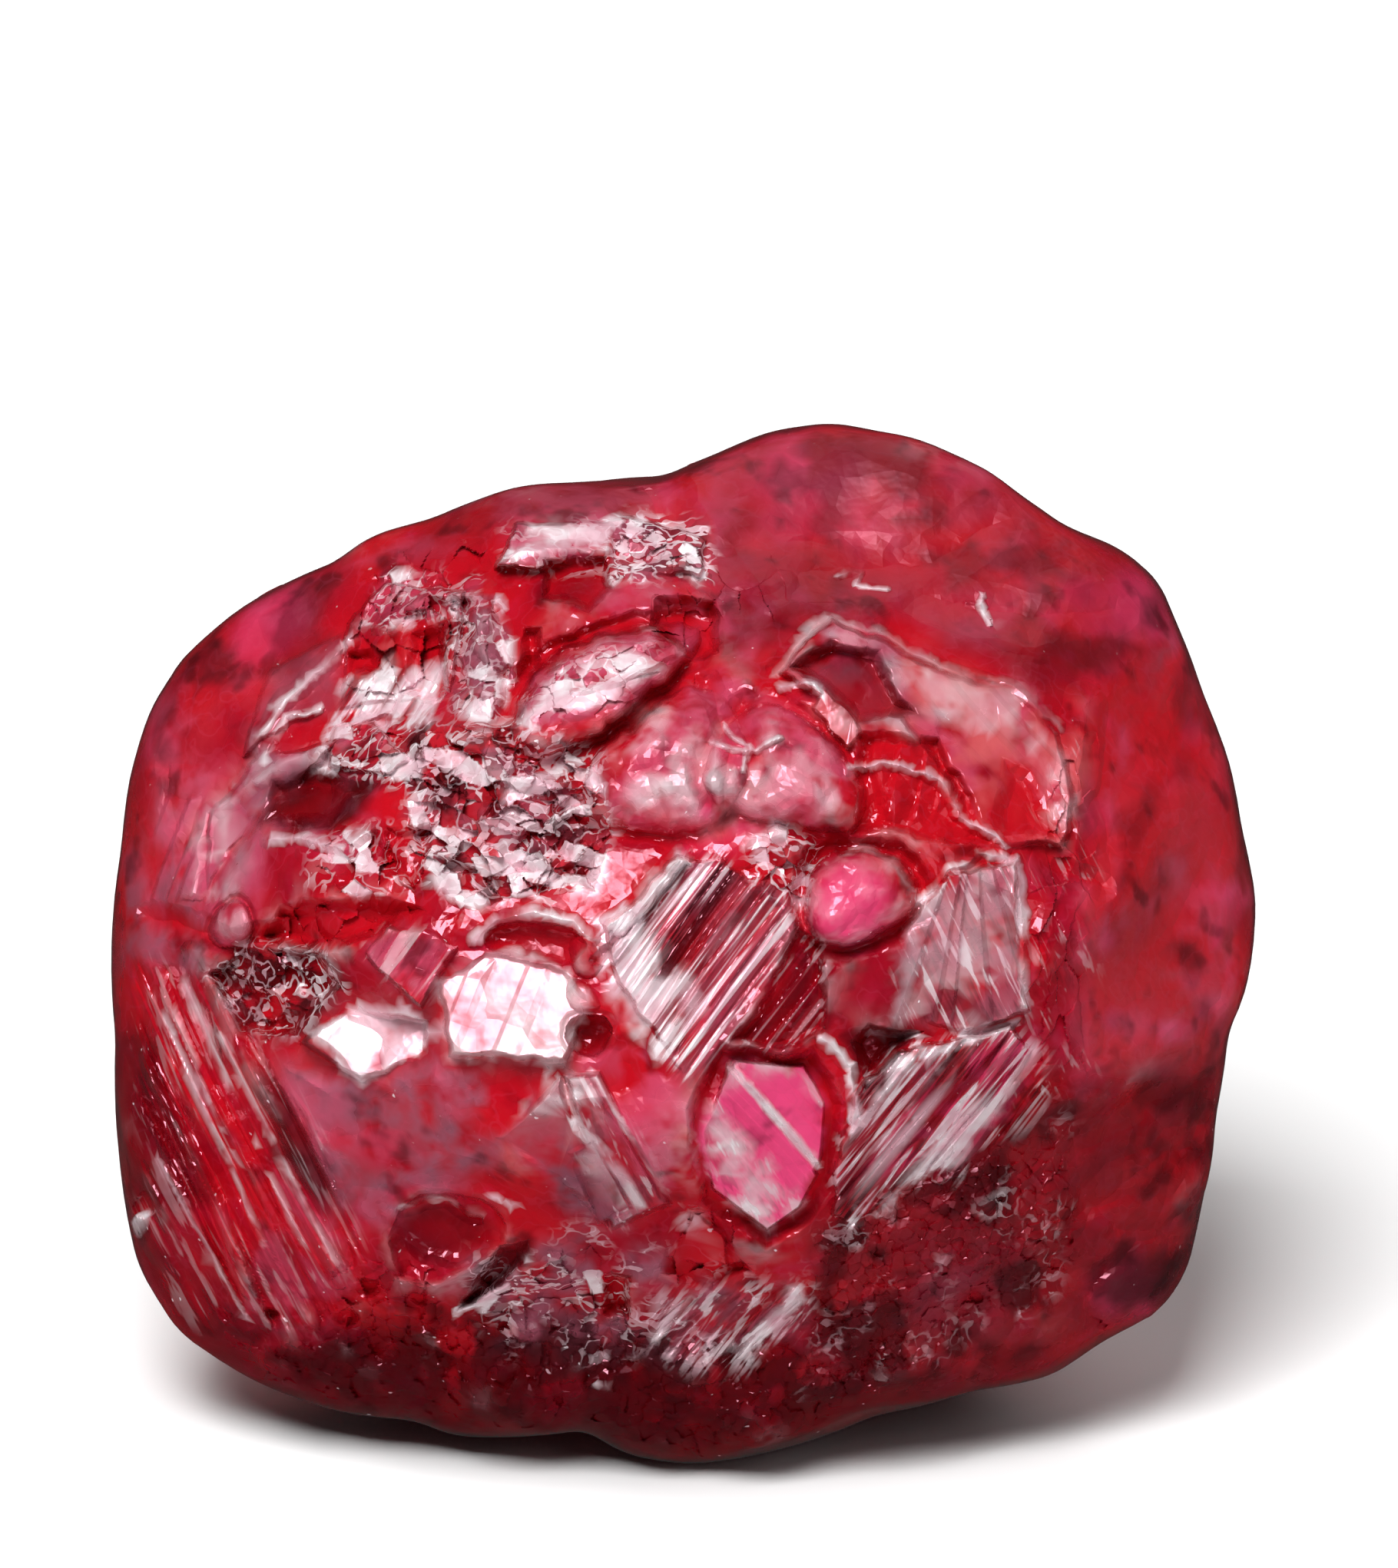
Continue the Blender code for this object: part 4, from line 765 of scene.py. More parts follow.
def work_back(back):
    """Flat faces with steps and pits, a row of lumps between them and a chipped foot."""
    back.facet((-1.9, 1.7), 2.0, 0.3, (0.03, 0.03))
    back.facet((2.1, 1.4), 1.9, 0.26, (-0.04, 0.02))
    back.facet((-1.0, -2.1), 1.9, 0.24, (0, 0.05))
    back.facet((-3.7, -0.7), 1.3, 0.2, (0.1, 0))
    back.steps([(0.9, 0.5), (1.2, 2.8), (2.9, 2.5), (3.6, 0.7), (2.4, -0.1)], 62, 0.42, 0.12, 51)
    back.steps([(-2.3, -3.0), (-2.6, -1.5), (-0.6, -1.1), (-0.2, -3.0)], -4, 0.46, 0.12, 53)
    back.chips([(1.0, -3.6), (0.8, -1.8), (2.7, -0.9), (4.0, -1.6), (3.0, -3.4)], 0.62, 0.3, 57)
    back.lump((0.2, 2.6), (0.6, 0.9), 10, 0.16, **WORN)
    back.lump((0.0, 0.6), (0.7, 0.45), 40, 0.2, **WORN)
    back.lump((1.3, -1.1), (0.45, 0.6), 20, 0.16, **WORN)
    back.three_cornered_pits(
        80, ((-2.2, 1.9), 0.55), ((-1.2, 2.6), 0.34), ((-1.4, 1.1), 0.42), ((-2.6, 0.9), 0.26),
    )
    back.groove([(-3.9, 0.2), (-2.2, -0.4), (-0.8, -0.35), (0.6, -1.2), (0.8, -2.4)], 0.4, 0.14)


def work_right(side):
    """A ledge, low lumps, one stepped face and small pits."""
    side.facet((1.2, 1.0), 1.7, 0.22, (0.04, 0))
    side.facet((1.4, -1.9), 1.5, 0.2, (0, 0.05))
    side.steps([(0.3, 0.0), (0.2, 1.8), (1.4, 2.3), (2.4, 1.0), (1.8, -0.2)], 74, 0.4, 0.11, 61)
    side.chips([(0.9, -2.6), (1.8, -1.0), (3.3, -1.0), (3.0, -3.0), (1.4, -3.3)], 0.55, 0.3, 63)
    side.lump((2.9, 1.6), (0.5, 0.65), 10, 0.2, **WORN)
    side.lump((1.0, 3.2), (0.6, 0.4), -20, 0.18, **WORN)
    side.three_cornered_pits(20, ((0.9, 0.9), 0.34), ((1.5, 1.5), 0.24), ((3.0, 0.2), 0.3))


def work_left(side):
    """A pitted face, plates that run down the flank and a chipped foot."""
    side.facet((-1.4, 1.2), 1.7, 0.24, (0, 0.03))
    side.facet((-1.3, -1.7), 1.5, 0.2, (0.05, 0))
    side.steps([(-2.4, -2.9), (-2.6, -0.6), (-1.2, -0.2), (-0.3, -0.8), (-0.6, -2.8)], 82, 0.44, 0.14, 71)
    side.chips([(-3.6, -2.6), (-3.6, -0.8), (-2.6, -0.7), (-2.5, -2.8)], 0.55, 0.3, 73)
    side.lump((-3.0, 1.0), (0.42, 0.6), 0, 0.18, **WORN)
    side.lump((-0.8, 3.0), (0.7, 0.42), 20, 0.2, **WORN)
    side.three_cornered_pits(50, ((-1.5, 1.3), 0.46), ((-0.8, 1.8), 0.3), ((-0.9, 0.6), 0.24))


def work_top(top):
    """The crown: flat faces, a stepped terrace and one long groove."""
    top.facet((-2.2, 2.4), 1.7, 0.22, (0, 0.03))
    top.facet((1.9, 2.9), 1.6, 0.22, (-0.02, 0.03))
    top.steps([(-3.0, 2.2), (-2.2, 3.4), (-0.8, 3.4), (-1.0, 2.0)], 12, 0.42, 0.11, 81)
    top.lump((0.5, 3.6), (0.8, 0.5), 0, 0.18, **WORN)
    top.groove([(-4.2, 1.9), (-2.4, 1.7), (-0.8, 2.2), (0.3, 2.6), (0.6, 3.1)], 0.4, 0.12)
    top.three_cornered_pits(110, ((-1.6, 1.9), 0.34), ((1.6, 2.6), 0.4), ((2.4, 3.1), 0.28))


def weathered(side, seed):
    """Chips, ripples and grains all over a hidden side, stronger in some places than in others."""
    everywhere = [(-6.5, -6.5), (-6.5, 6.5), (6.5, 6.5), (6.5, -6.5)]
    patch = ease(smooth_noise(side.across, side.up, 2.4, seed), -0.3, 0.5)
    plain_weight = side.weight
    side.weight = plain_weight * (0.25 + 0.75 * patch)
    side.chips(everywhere, 0.5, 0.22, seed + 1)
    side.chips(everywhere, 0.22, 0.22, seed + 2)
    side.weight = plain_weight * (1 - patch)
    side.ripple(everywhere, 0.5, 0.025, seed + 3)
    side.weight = plain_weight


HIDDEN_SIDES = (
    (work_back, 180, 8), (work_right, 90, 5), (work_left, -90, 5), (work_top, 0, 80),
)


def chip_girdle(seen, weight):
    """Flat chips of three sizes round the stone's outline."""
    round_it = np.arctan2(seen[:, X], seen[:, Y]) * GIRDLE_RADIUS
    for cell, deep, seed in GIRDLE_CHIPS:
        off, number = nearest_cell(round_it, seen[:, 2], cell, seed)
        tip_x, tip_y, lift = (2 * scatter(number[:, 0], number[:, 1], seed + n) - 1 for n in (1, 2, 3))
        cut = 0.5 * np.clip(tip_x * off[:, 0] + tip_y * off[:, 1] + 0.4 * lift, -1, 1)
        seen[:, :2] *= (1 - weight * deep * cut / np.maximum(np.hypot(seen[:, X], seen[:, Y]), 1e-6))[:, None]


def shaped_stone(directions, triangles):
    """Where each vertex of the ball comes to lie, in mm, with the table at height 0."""
    points = swell(directions * habit_reach(directions)[:, None])
    normals = surface_normals(points, triangles)
    behind = -(normals @ FRONT[2])
    beside = ease(behind, *BEHIND_OUTLINE)
    for number, (work, azimuth, elevation) in enumerate(HIDDEN_SIDES):
        side = Side(points, normals, azimuth, elevation, HIDDEN_REACH, beside)
        work(side)
        weathered(side, 200 + 10 * number)
        points = side.points()
    # Nothing at the back or on the sides stands out past the outline.
    seen = points @ FRONT.T
    out = np.hypot(seen[:, 0], seen[:, 1])
    room = outline_reach(np.arctan2(seen[:, 1], seen[:, 0])) / np.maximum(out, 1e-6)
    seen[:, :2] *= np.where(beside > 0, np.minimum(room, 1), 1)[:, None]
    chip_girdle(seen, ease(behind, -0.02, 0.2) * (1 - ease(behind, 0.3, 0.5)))
    points = seen @ FRONT
    front = Side(points, normals, 0, FRONT_ELEVATION, FRONT_REACH)
    work_front(front)
    return front.points()


def crowd_to_front(points):
    """Slides each vertex of the ball from the back to the front along its meridian."""
    height = points @ FRONT[2]
    flat = points - np.outer(height, FRONT[2])
    reach = np.sqrt((1 + height) / np.maximum(1 - height, 1e-9)) * FRONT_CROWDING
    moved = (reach**2 - 1) / (reach**2 + 1)
    scale = np.sqrt(np.clip(1 - moved**2, 0, 1)) / np.maximum(np.linalg.norm(flat, axis=1), 1e-9)
    return flat * scale[:, None] + np.outer(moved, FRONT[2])


def mesh_arrays(mesh):
    """A mesh's vertex places, in metres, and its triangles."""
    points = np.empty(len(mesh.vertices) * 3)
    mesh.vertices.foreach_get("co", points)
    mesh.calc_loop_triangles()
    triangles = np.empty(len(mesh.loop_triangles) * 3, dtype=np.int64)
    mesh.loop_triangles.foreach_get("vertices", triangles)
    return points.reshape(-1, 3), triangles.reshape(-1, 3)


def make_stone():
    bpy.ops.mesh.primitive_ico_sphere_add(subdivisions=BALL_LEVEL, radius=1.0)
    stone = bpy.context.object
    stone.name = "diamond_surface"
    mesh = stone.data
    directions, triangles = mesh_arrays(mesh)
    directions = crowd_to_front(directions / np.linalg.norm(directions, axis=1)[:, None])
    points = shaped_stone(directions, triangles)
    points[:, 2] += REST_FACE_DEPTH
    above = points[points[:, 2] > 0]
    shift = (above[:, :2].min(0) + above[:, :2].max(0)) / 2
    points[:, :2] -= shift
    mesh.vertices.foreach_set("co", (points * MM).ravel())
    mesh.update()

    fewer = stone.modifiers.new("fewer triangles", "DECIMATE")
    fewer.ratio = TRIANGLES_KEPT / len(triangles)
    bpy.ops.object.modifier_apply(modifier=fewer.name)
    bpy.ops.object.mode_set(mode="EDIT")
    bpy.ops.mesh.select_all(action="SELECT")
    bpy.ops.mesh.bisect(
        plane_co=(0, 0, 0), plane_no=(0, 0, 1), use_fill=True, clear_inner=True, threshold=1e-7,
    )
    bpy.ops.object.mode_set(mode="OBJECT")
    bpy.ops.object.select_all(action="DESELECT")
    return stone, shift


PAINT_MARGIN = 0.2
HIDDEN_MATT = 0.6
# How dark the painted shade is along the outline and low on the stone, and the heights over which the low
# shade fades from full to none.
RIM_SHADE = 0.75
LOW_SHADE = 0.85
SHADE_BELOW = (-4.9, -3.6)
LEVEL_BLURS = 40
EDGE_BLURS = 2


class Paint:
    """Masks over the finished mesh, painted as seen from the front."""

    def __init__(self, points, normals):
        seen = points @ FRONT.T
        self.across, self.up = seen[:, 0], seen[:, 1]
        self.facing = ease(normals @ FRONT[2], -0.1, 0.25) * (seen[:, 2] > 0)
        self.bent_across, self.bent_up = crumpled(self.across, self.up)
        grain = smooth_noise(self.across, self.up, 0.22, 3)
        grain = grain + 0.6 * smooth_noise(self.across, self.up, 0.09, 4)
        self.wander = 0.06 * grain
        self.mask = np.zeros(len(points))

    def add(self, share, at=slice(None)):
        self.mask[at] = np.maximum(self.mask[at], share * self.facing[at])

    def inside(self, corners, soft):
        """The vertices round a polygon, and how far each is inside it, from 0 to 1."""
        corners = np.asarray(corners, float)
        at = close_to(self.across, self.up, corners, PAINT_MARGIN + soft, self.facing)
        depth = depth_inside(self.bent_across[at], self.bent_up[at], corners) + self.wander[at]
        return at, ease(depth, -soft / 2, soft / 2)

    def area(self, corners, amount=1.0, soft=0.12):
        at, share = self.inside(corners, soft)
        self.add(amount * share, at)

    def flakes(self, corners, cell, share, seed, amount=1.0, soft=0.12, stretch=1.0, turn=0.0):
        """Colours a share of the small chips that the same cell size and seed give."""
        at, inside = self.inside(corners, soft)
        _, number = nearest_cell(self.bent_across[at], self.bent_up[at], cell, seed, stretch, turn)
        self.add(amount * inside * (scatter(number[:, 0], number[:, 1], seed + 7) < share), at)

    def streaks(self, corners, direction, spacing, share, seed, amount=1.0, soft=0.12, apex=None):
        """Colours thin lines of uneven length in one direction, or lines that spread from an apex."""
        at, inside = self.inside(corners, soft)
        if apex is None:
            along, over = turned(self.across[at], self.up[at], direction)
        else:
            over, along = fanned(self.across[at], self.up[at], apex)
        line = smooth_noise(over, along / 9, spacing, seed)
        self.add(amount * inside * ease(line, 0.85 - 2 * share, 1.15 - 2 * share), at)

    def clouds(self, corners, size, share, seed, amount=1.0, soft=0.3, stretch=1.0, turn=0.0):
        """Colours soft uneven patches."""
        at, inside = self.inside(corners, soft)
        x, y = turned(self.across[at], self.up[at], turn)
        x = x / stretch
        cloud = smooth_noise(x, y, size, seed) + 0.6 * smooth_noise(x, y, size * 0.4, seed + 1)
        self.add(amount * inside * ease(cloud, 0.7 - 2 * share, 1.3 - 2 * share), at)

    def spot(self, centre, radii, turn=0.0, amount=1.0, soft=0.4):
        out = np.hypot(*in_oval(self.across, self.up, centre, radii, turn)) + self.wander * 2
        self.add(amount * (1 - ease(out, 1 - soft, 1 + soft)))

    def stroke(self, line, width, amount=1.0, straight=0.0):
        across = self.bent_across + (self.across - self.bent_across) * straight
        up = self.bent_up + (self.up - self.bent_up) * straight
        off = off_line(across, up, line) + self.wander * width * 6 * (1 - straight)
        broken = ease(smooth_noise(self.across, self.up, 0.3, 8), -0.9, -0.1)
        self.add(amount * broken * (1 - ease(off, width * 0.5, width)))

    def done(self):
        mask, self.mask = self.mask, np.zeros(len(self.mask))
        return mask


# Pink tone, partly a painted sheen of frosted faces.
def rose_and_sheen_places(paint):
    paint.area(ROSE_LUMP, 0.8)
    paint.spot((1.75, 0.5), (0.5, 0.48), amount=0.3)
    paint.clouds([(-0.9, -1.1), (-0.1, -1.0), (0.1, -1.9), (-0.1, -2.6), (-0.5, -1.9)], 0.25, 0.6, 351, 0.8)
    paint.area([(-1.1, -1.2), (-0.85, -1.15), (-0.1, -2.4), (-0.35, -2.55)], 0.9, 0.15)
    paint.area(BOULDER, 0.8)
    paint.area([(-1.9, 3.95), (-1.8, 4.45), (-0.7, 4.5), (-0.8, 4.1)], 0.95)
    paint.area(TONGUE, 0.8)
    paint.spot((-4.7, 0.22), (0.28, 0.24), 35, 0.8)
    paint.clouds(TOP_SLOPE, 0.4, 0.3, 301, 0.35)
    paint.clouds([(-0.9, 3.2), (-0.9, 3.8), (0.2, 3.8), (1.2, 3.4), (0.9, 2.9), (0.1, 2.6)],
                 0.3, 0.55, 379, 0.6)
    paint.clouds([(-2.0, 4.3), (-1.8, 4.65), (-0.2, 4.8), (0.2, 4.4), (-0.7, 4.35)], 0.3, 0.6, 380, 0.6)
    paint.clouds([(-5.5, 0.2), (-5.4, 1.7), (-4.6, 2.0), (-4.3, 1.4), (-4.4, 0.4)], 0.35, 0.7, 378, 0.8)
    paint.clouds(LEFT_SLOPE, 0.45, 0.3, 302, 0.5)
    paint.area(BLOCK_RIM, 0.7)
    paint.clouds(RIGHT_FLANK, 0.3, 0.35, 303, 0.6, stretch=2.0, turn=80)
    paint.clouds(RIGHT_SEAM, 0.2, 0.25, 304, 0.5, stretch=2.5, turn=85)
    paint.spot((2.9, -3.7), (0.5, 0.35), amount=0.4)
    paint.area([(-4.6, -3.9), (-4.2, -2.4), (-3.6, -2.8), (-3.4, -3.6)], 0.5)
    paint.clouds([(-5.2, 0.4), (-5.1, 1.6), (-4.0, 2.2), (-2.9, 2.2), (-3.4, 0.9)], 0.4, 0.5, 305, 0.7)
    paint.clouds(SMOOTH_FACE, 0.4, 0.35, 306, 0.6)
    paint.clouds(WING, 0.35, 0.45, 307, 0.8)
    paint.streaks(FLANK_PLATES, -64, 0.22, 0.25, 308, 0.6)
    paint.streaks(WEDGE_TAIL, 56, 0.14, 0.25, 309, 0.5)


# Grey-purple tone, partly a painted sheen of smooth and frosted faces.
def smoky_sheen_places(paint):
    paint.clouds(SMOOTH_FACE, 0.5, 0.8, 311, 0.9, 0.5)
    paint.clouds([(-2.6, -1.2), (-1.3, -1.3), (-2.0, -2.2), (-2.5, -2.6), (-3.0, -2.0)], 0.3, 0.5, 318, 0.7)
    paint.clouds([(-6.0, -0.2), (-5.9, 0.9), (-5.0, 0.7), (-4.9, -0.3)], 0.3, 0.6, 319, 0.7)
    paint.clouds([(1.0, 2.8), (1.5, 3.45), (2.4, 3.05), (2.9, 2.4), (2.3, 2.2)], 0.3, 0.6, 316, 0.8, 0.2)
    paint.area(FAN, 0.7, 0.2)
    paint.area(BLOCK, 0.55, 0.2)
    paint.area(WEDGE, 0.15, 0.2)
    paint.area(FACET_LEFT, 0.6, 0.2)
    paint.area([(-1.5, -2.1), (-1.2, -1.95), (-0.6, -2.5), (-0.6, -2.95), (-1.2, -2.75)], 0.95, 0.2)
    paint.area(FACET_RIGHT, 0.5, 0.2)
    paint.spot((-1.0, 2.62), (0.8, 0.32), 26, 0.7)
    paint.area(LEFT_ARCH, 0.85, 0.3)
    paint.area([(-5.3, 0.6), (-5.2, 1.7), (-4.6, 2.0), (-4.3, 1.5), (-4.5, 0.6)], 0.9, 0.2)
    paint.clouds([(-5.6, 0.5), (-5.5, 1.6), (-4.9, 1.7), (-4.6, 0.7)], 0.3, 0.6, 320, 0.7)
    paint.clouds([(-0.5, 3.4), (-0.3, 4.2), (0.9, 4.2), (1.1, 3.6), (0.6, 3.1)], 0.4, 0.45, 312, 0.4)
    paint.clouds([(-2.2, -3.2), (-0.9, -2.9), (0.9, -3.6), (0.5, -4.4), (-2.0, -4.3)],
                 0.4, 0.6, 313, 0.8, 0.4)
    paint.area(CRYSTAL_HEAP, 0.6, 0.3)
    paint.area(KNOBBY_RIDGE, 0.8)
    paint.area(SILVER_LUMPS, 0.7)
    paint.area(BLADE, 0.5, 0.3)
    paint.clouds(RIGHT_FLANK, 0.35, 0.15, 314, 0.4, stretch=1.6, turn=80)
    paint.clouds(LOWER_SLOPE, 0.45, 0.12, 315, 0.2)
    paint.area([(4.4, -1.3), (4.5, -0.5), (5.2, -0.6), (5.1, -1.4)], 0.6, 0.5)
    paint.area(FOLDS, 0.7, 0.3)


def highlight_places(paint):
    """Polished faces, crests and small edges that get painted highlights and glints in white and pearl."""
    paint.area(BROW, 0.55, 0.06)
    paint.clouds(BROW, 0.3, 0.7, 376, 0.5, 0.1)
    paint.clouds([(-1.3, -1.15), (-1.6, -1.8), (-1.2, -2.0), (-0.85, -1.6)], 0.25, 0.7, 358, 0.5, 0.15)
    paint.clouds(FAN, 0.3, 0.5, 352, 0.3, 0.15)
    paint.clouds([(2.2, 3.0), (3.4, 2.6), (3.9, 2.2), (3.6, 2.0), (2.6, 2.3)], 0.3, 0.6, 353, 0.4, 0.2)
    paint.clouds([(3.9, 2.0), (4.1, 1.5), (3.95, 1.0), (3.75, 1.2)], 0.2, 0.6, 357, 0.35, 0.15)
    paint.streaks([(1.75, -1.9), (2.2, -1.2), (3.1, -0.85), (2.7, -1.2), (1.9, -2.1)],
                  51, 0.12, 0.5, 354, 0.9)
    paint.streaks([(-0.85, 0.15), (-0.5, 0.35), (0.3, -0.8), (-0.1, -1.3), (-0.8, -0.6)],
                  55, 0.12, 0.5, 355, 0.8)
    paint.clouds([(-5.2, 0.6), (-5.0, 1.5), (-4.4, 1.95), (-4.4, 1.2), (-4.7, 0.5)], 0.25, 0.5, 356, 0.35)
    paint.clouds([(-3.9, -0.9), (-3.3, -0.6), (-2.6, -0.65), (-2.7, -1.1), (-3.3, -1.4)],
                 0.3, 0.75, 329, 0.9, 0.06)
    paint.area([(-0.85, 0.25), (-0.05, 1.0), (0.08, 0.9), (-0.68, 0.1)], 1.0)
    paint.streaks(BLOCK, 55, 0.2, 0.18, 321, 0.7)
    paint.streaks(WEDGE, 51, 0.2, 0.35, 322, 0.8)
    paint.streaks(FAN, 0, 0.12, 0.3, 324, 0.5, apex=FAN_APEX)
    paint.streaks(BLOCK_FOOT, 62, 0.13, 0.5, 325, 0.95)
    paint.streaks(FOLDS, 46, 0.13, 0.35, 327, 0.7)
    paint.streaks(WINDOW_FOOT, -47, 0.08, 0.3, 328, 0.7)
    paint.flakes([(-1.65, 2.3), (-1.3, 2.8), (-0.5, 3.05), (-0.2, 2.85), (-0.8, 2.45)], 0.2, 0.6, 99, 0.95,
                 stretch=1.5, turn=26)
    paint.flakes(SILVER_LUMPS, 0.16, 0.35, 98, 0.9)
    paint.flakes(KNOBBY_RIDGE, 0.15, 0.2, 96, 0.85)
    paint.flakes(BLOCK_RIM, 0.26, 0.5, 99, 0.85)
    paint.flakes(CRYSTAL_HEAP, 0.17, 0.25, 4, 0.8, stretch=2.0, turn=-20)
    paint.flakes(HEAP_RIGHT, 0.14, 0.2, 6, 0.8, stretch=2.6, turn=35)
    paint.flakes(ARCH_CORNER, 0.24, 0.4, 114, 0.8)
    paint.flakes(NODULE_FOOT, 0.2, 0.15, 14, 0.8)
    paint.flakes(BLOCK_HEAD, 0.2, 0.3, 20, 0.8)
    paint.flakes(ROUGH_FOOT, 0.2, 0.08, 35, 0.8)
    for line, width, amount in (
        ([(1.75, -1.9), (2.3, -1.25), (3.0, -0.92), (3.45, -0.8)], 0.050, 0.9),
        ([(1.45, -0.95), (1.75, -1.25), (1.75, -1.8)], 0.058, 1.0),
        ([(1.95, -0.92), (2.4, -0.95)], 0.036, 0.8),
        (FAN_SIDE, 0.058, 0.9),
        (FAN_HEAD, 0.036, 0.8),
        (BLADE_RIDGE, 0.043, 0.8),
        (ARCH_RIDGE, 0.043, 0.9),
        ([(-4.25, 1.05), (-3.9, 1.1), (-3.5, 1.02)], 0.043, 0.9),
        ([(-5.1, 0.6), (-4.95, 1.35), (-4.5, 1.75), (-3.9, 1.98)], 0.04, 0.25),
        ([(-1.6, 4.2), (-1.1, 4.25), (-0.85, 4.32)], 0.14, 0.9),
        (LEDGE_RIDGE, 0.043, 0.6),
        (SPLINTER, 0.025, 1.0),
        (SHORT_SPLINTER, 0.029, 1.0),
        ([(0.95, 2.8), (1.5, 3.42), (1.75, 3.36)], 0.05, 0.4),
        ([(1.75, 3.36), (2.3, 3.05), (3.4, 2.64), (3.9, 2.25)], 0.03, 0.25),
        (WINDOW_SILL, 0.036, 0.9),
        (LEDGE_CREST, 0.032, 0.75),
        (LUMP_RIDGE, 0.036, 0.8),
        (LUMP_CROSS_RIDGE, 0.036, 0.8),
        ([(1.35, 0.85), (1.75, 1.05), (2.15, 0.85)], 0.036, 0.6),
        (SLOT_LIP, 0.043, 1.0),
        (FLANK_SPLINTER, 0.043, 1.0),
        ([(-2.95, -2.72), (-2.5, -2.58), (-2.1, -2.75)], 0.036, 0.5),
        ([(-2.0, -2.55), (-1.7, -2.65)], 0.043, 0.8),
        (BROW_RIDGE, 0.050, 0.8),
    ):
        paint.stroke(line, width, amount)
    for line, width, amount in (
        ([(0.48, -1.22), (1.38, -2.25)], 0.06, 1.0),
        ([(0.55, -1.2), (1.2, -1.25), (1.4, -1.6)], 0.05, 0.5),
        ([(-1.3, -1.3), (-0.55, -2.8)], 0.035, 0.5),
        ([(-1.1, -1.85), (-0.8, -2.1), (-0.45, -2.65)], 0.07, 0.6),
        ([(-0.95, -1.25), (-0.2, -2.5)], 0.035, 0.6),
        ([(-1.35, -1.25), (-1.9, -2.0)], 0.035, 0.5),
        ([(-1.4, -1.85), (-1.1, -1.78)], 0.03, 0.9),
        ([(-5.5, -0.5), (-4.35, -3.1)], 0.035, 0.6),
        ([(-5.2, -0.35), (-3.9, -3.2)], 0.035, 0.6),
        ([(-4.8, -0.9), (-3.6, -3.3)], 0.03, 0.5),
        ([(-5.35, -0.6), (-4.6, -2.3)], 0.025, 0.4),
        ([(-5.6, -2.0), (-4.5, -4.0)], 0.025, 0.4),
    ):
        paint.stroke(line, width, amount, straight=0.8)
    paint.clouds([(-0.6, 1.3), (0.3, 1.2), (1.3, 1.3), (1.4, 2.0), (0.6, 2.3), (-0.4, 2.4)],
                 0.3, 0.4, 377, 0.25)
    paint.spot((-0.35, 1.6), (0.26, 0.16), 10, 0.6)
    paint.spot((1.45, 1.6), (0.12, 0.22), 15, 0.5)
    paint.clouds(WINDOW_FOOT, 0.25, 0.5, 330, 0.7, 0.15)
    paint.spot((0.1, -2.85), (0.14, 0.1), 0, 0.7)


def crystal_places(paint):
    """Where tiny crystals get painted glints, with painted shade between them."""
    paint.area(CRYSTAL_HEAP, 0.65, 0.3)
    paint.area(TOP_LEDGE, 0.3)
    paint.area(SILVER_LUMPS, 0.8)
    paint.area(KNOBBY_RIDGE, 0.4)
    paint.area(BLOCK_RIM, 0.45)
    paint.area(ARCH_CORNER, 0.5)
    paint.area([(-4.0, 0.6), (-3.8, 1.1), (-3.0, 1.3), (-2.8, 0.6), (-3.2, 0.5)], 0.4)
    paint.area(BLOCK_HEAD, 0.6)
    paint.area(PITTED_HOLLOW, 0.5)
    paint.clouds(ROUGH_SLOPE, 0.3, 0.25, 371, 0.2)
    paint.clouds([(-2.2, -3.2), (-0.9, -2.9), (0.9, -3.5), (0.7, -4.3), (-2.0, -4.3)], 0.3, 0.4, 372, 0.45)
    paint.spot((-0.9, 2.75), (0.6, 0.25), 26, 0.5)


# Step faces whose lines rise to the right: they get painted highlight lines and painted shade lines, besides
# fine bumps.
def rising_places(paint):
    paint.area(BLOCK, 0.95, 0.2)
    paint.area(WEDGE, 0.95, 0.2)
    paint.clouds(WEDGE_TAIL, 0.4, 0.3, 373, 0.4)
    paint.area(FOLDS, 0.6, 0.3)
    paint.area(BLOCK_FOOT, 0.9)
    paint.area(BLOCK_SIDE, 0.35)
    paint.area(TONGUE, 0.35)


# Step faces whose lines fall to the right: they get painted highlight lines and painted shade lines, besides
# fine bumps.
def falling_places(paint):
    paint.area(FLANK_PLATES, 0.2, 0.3)
    paint.area(LOW_PLATES, 0.2, 0.3)
    paint.area(FACET_RIGHT, 0.45, 0.2)
    paint.area([(0.3, -1.5), (1.25, -2.65), (0.85, -2.95), (0.28, -2.5)], 0.5, 0.2)
    paint.area(FAN, 0.7, 0.2)
    paint.clouds(RIGHT_SEAM, 0.3, 0.5, 374, 0.4)
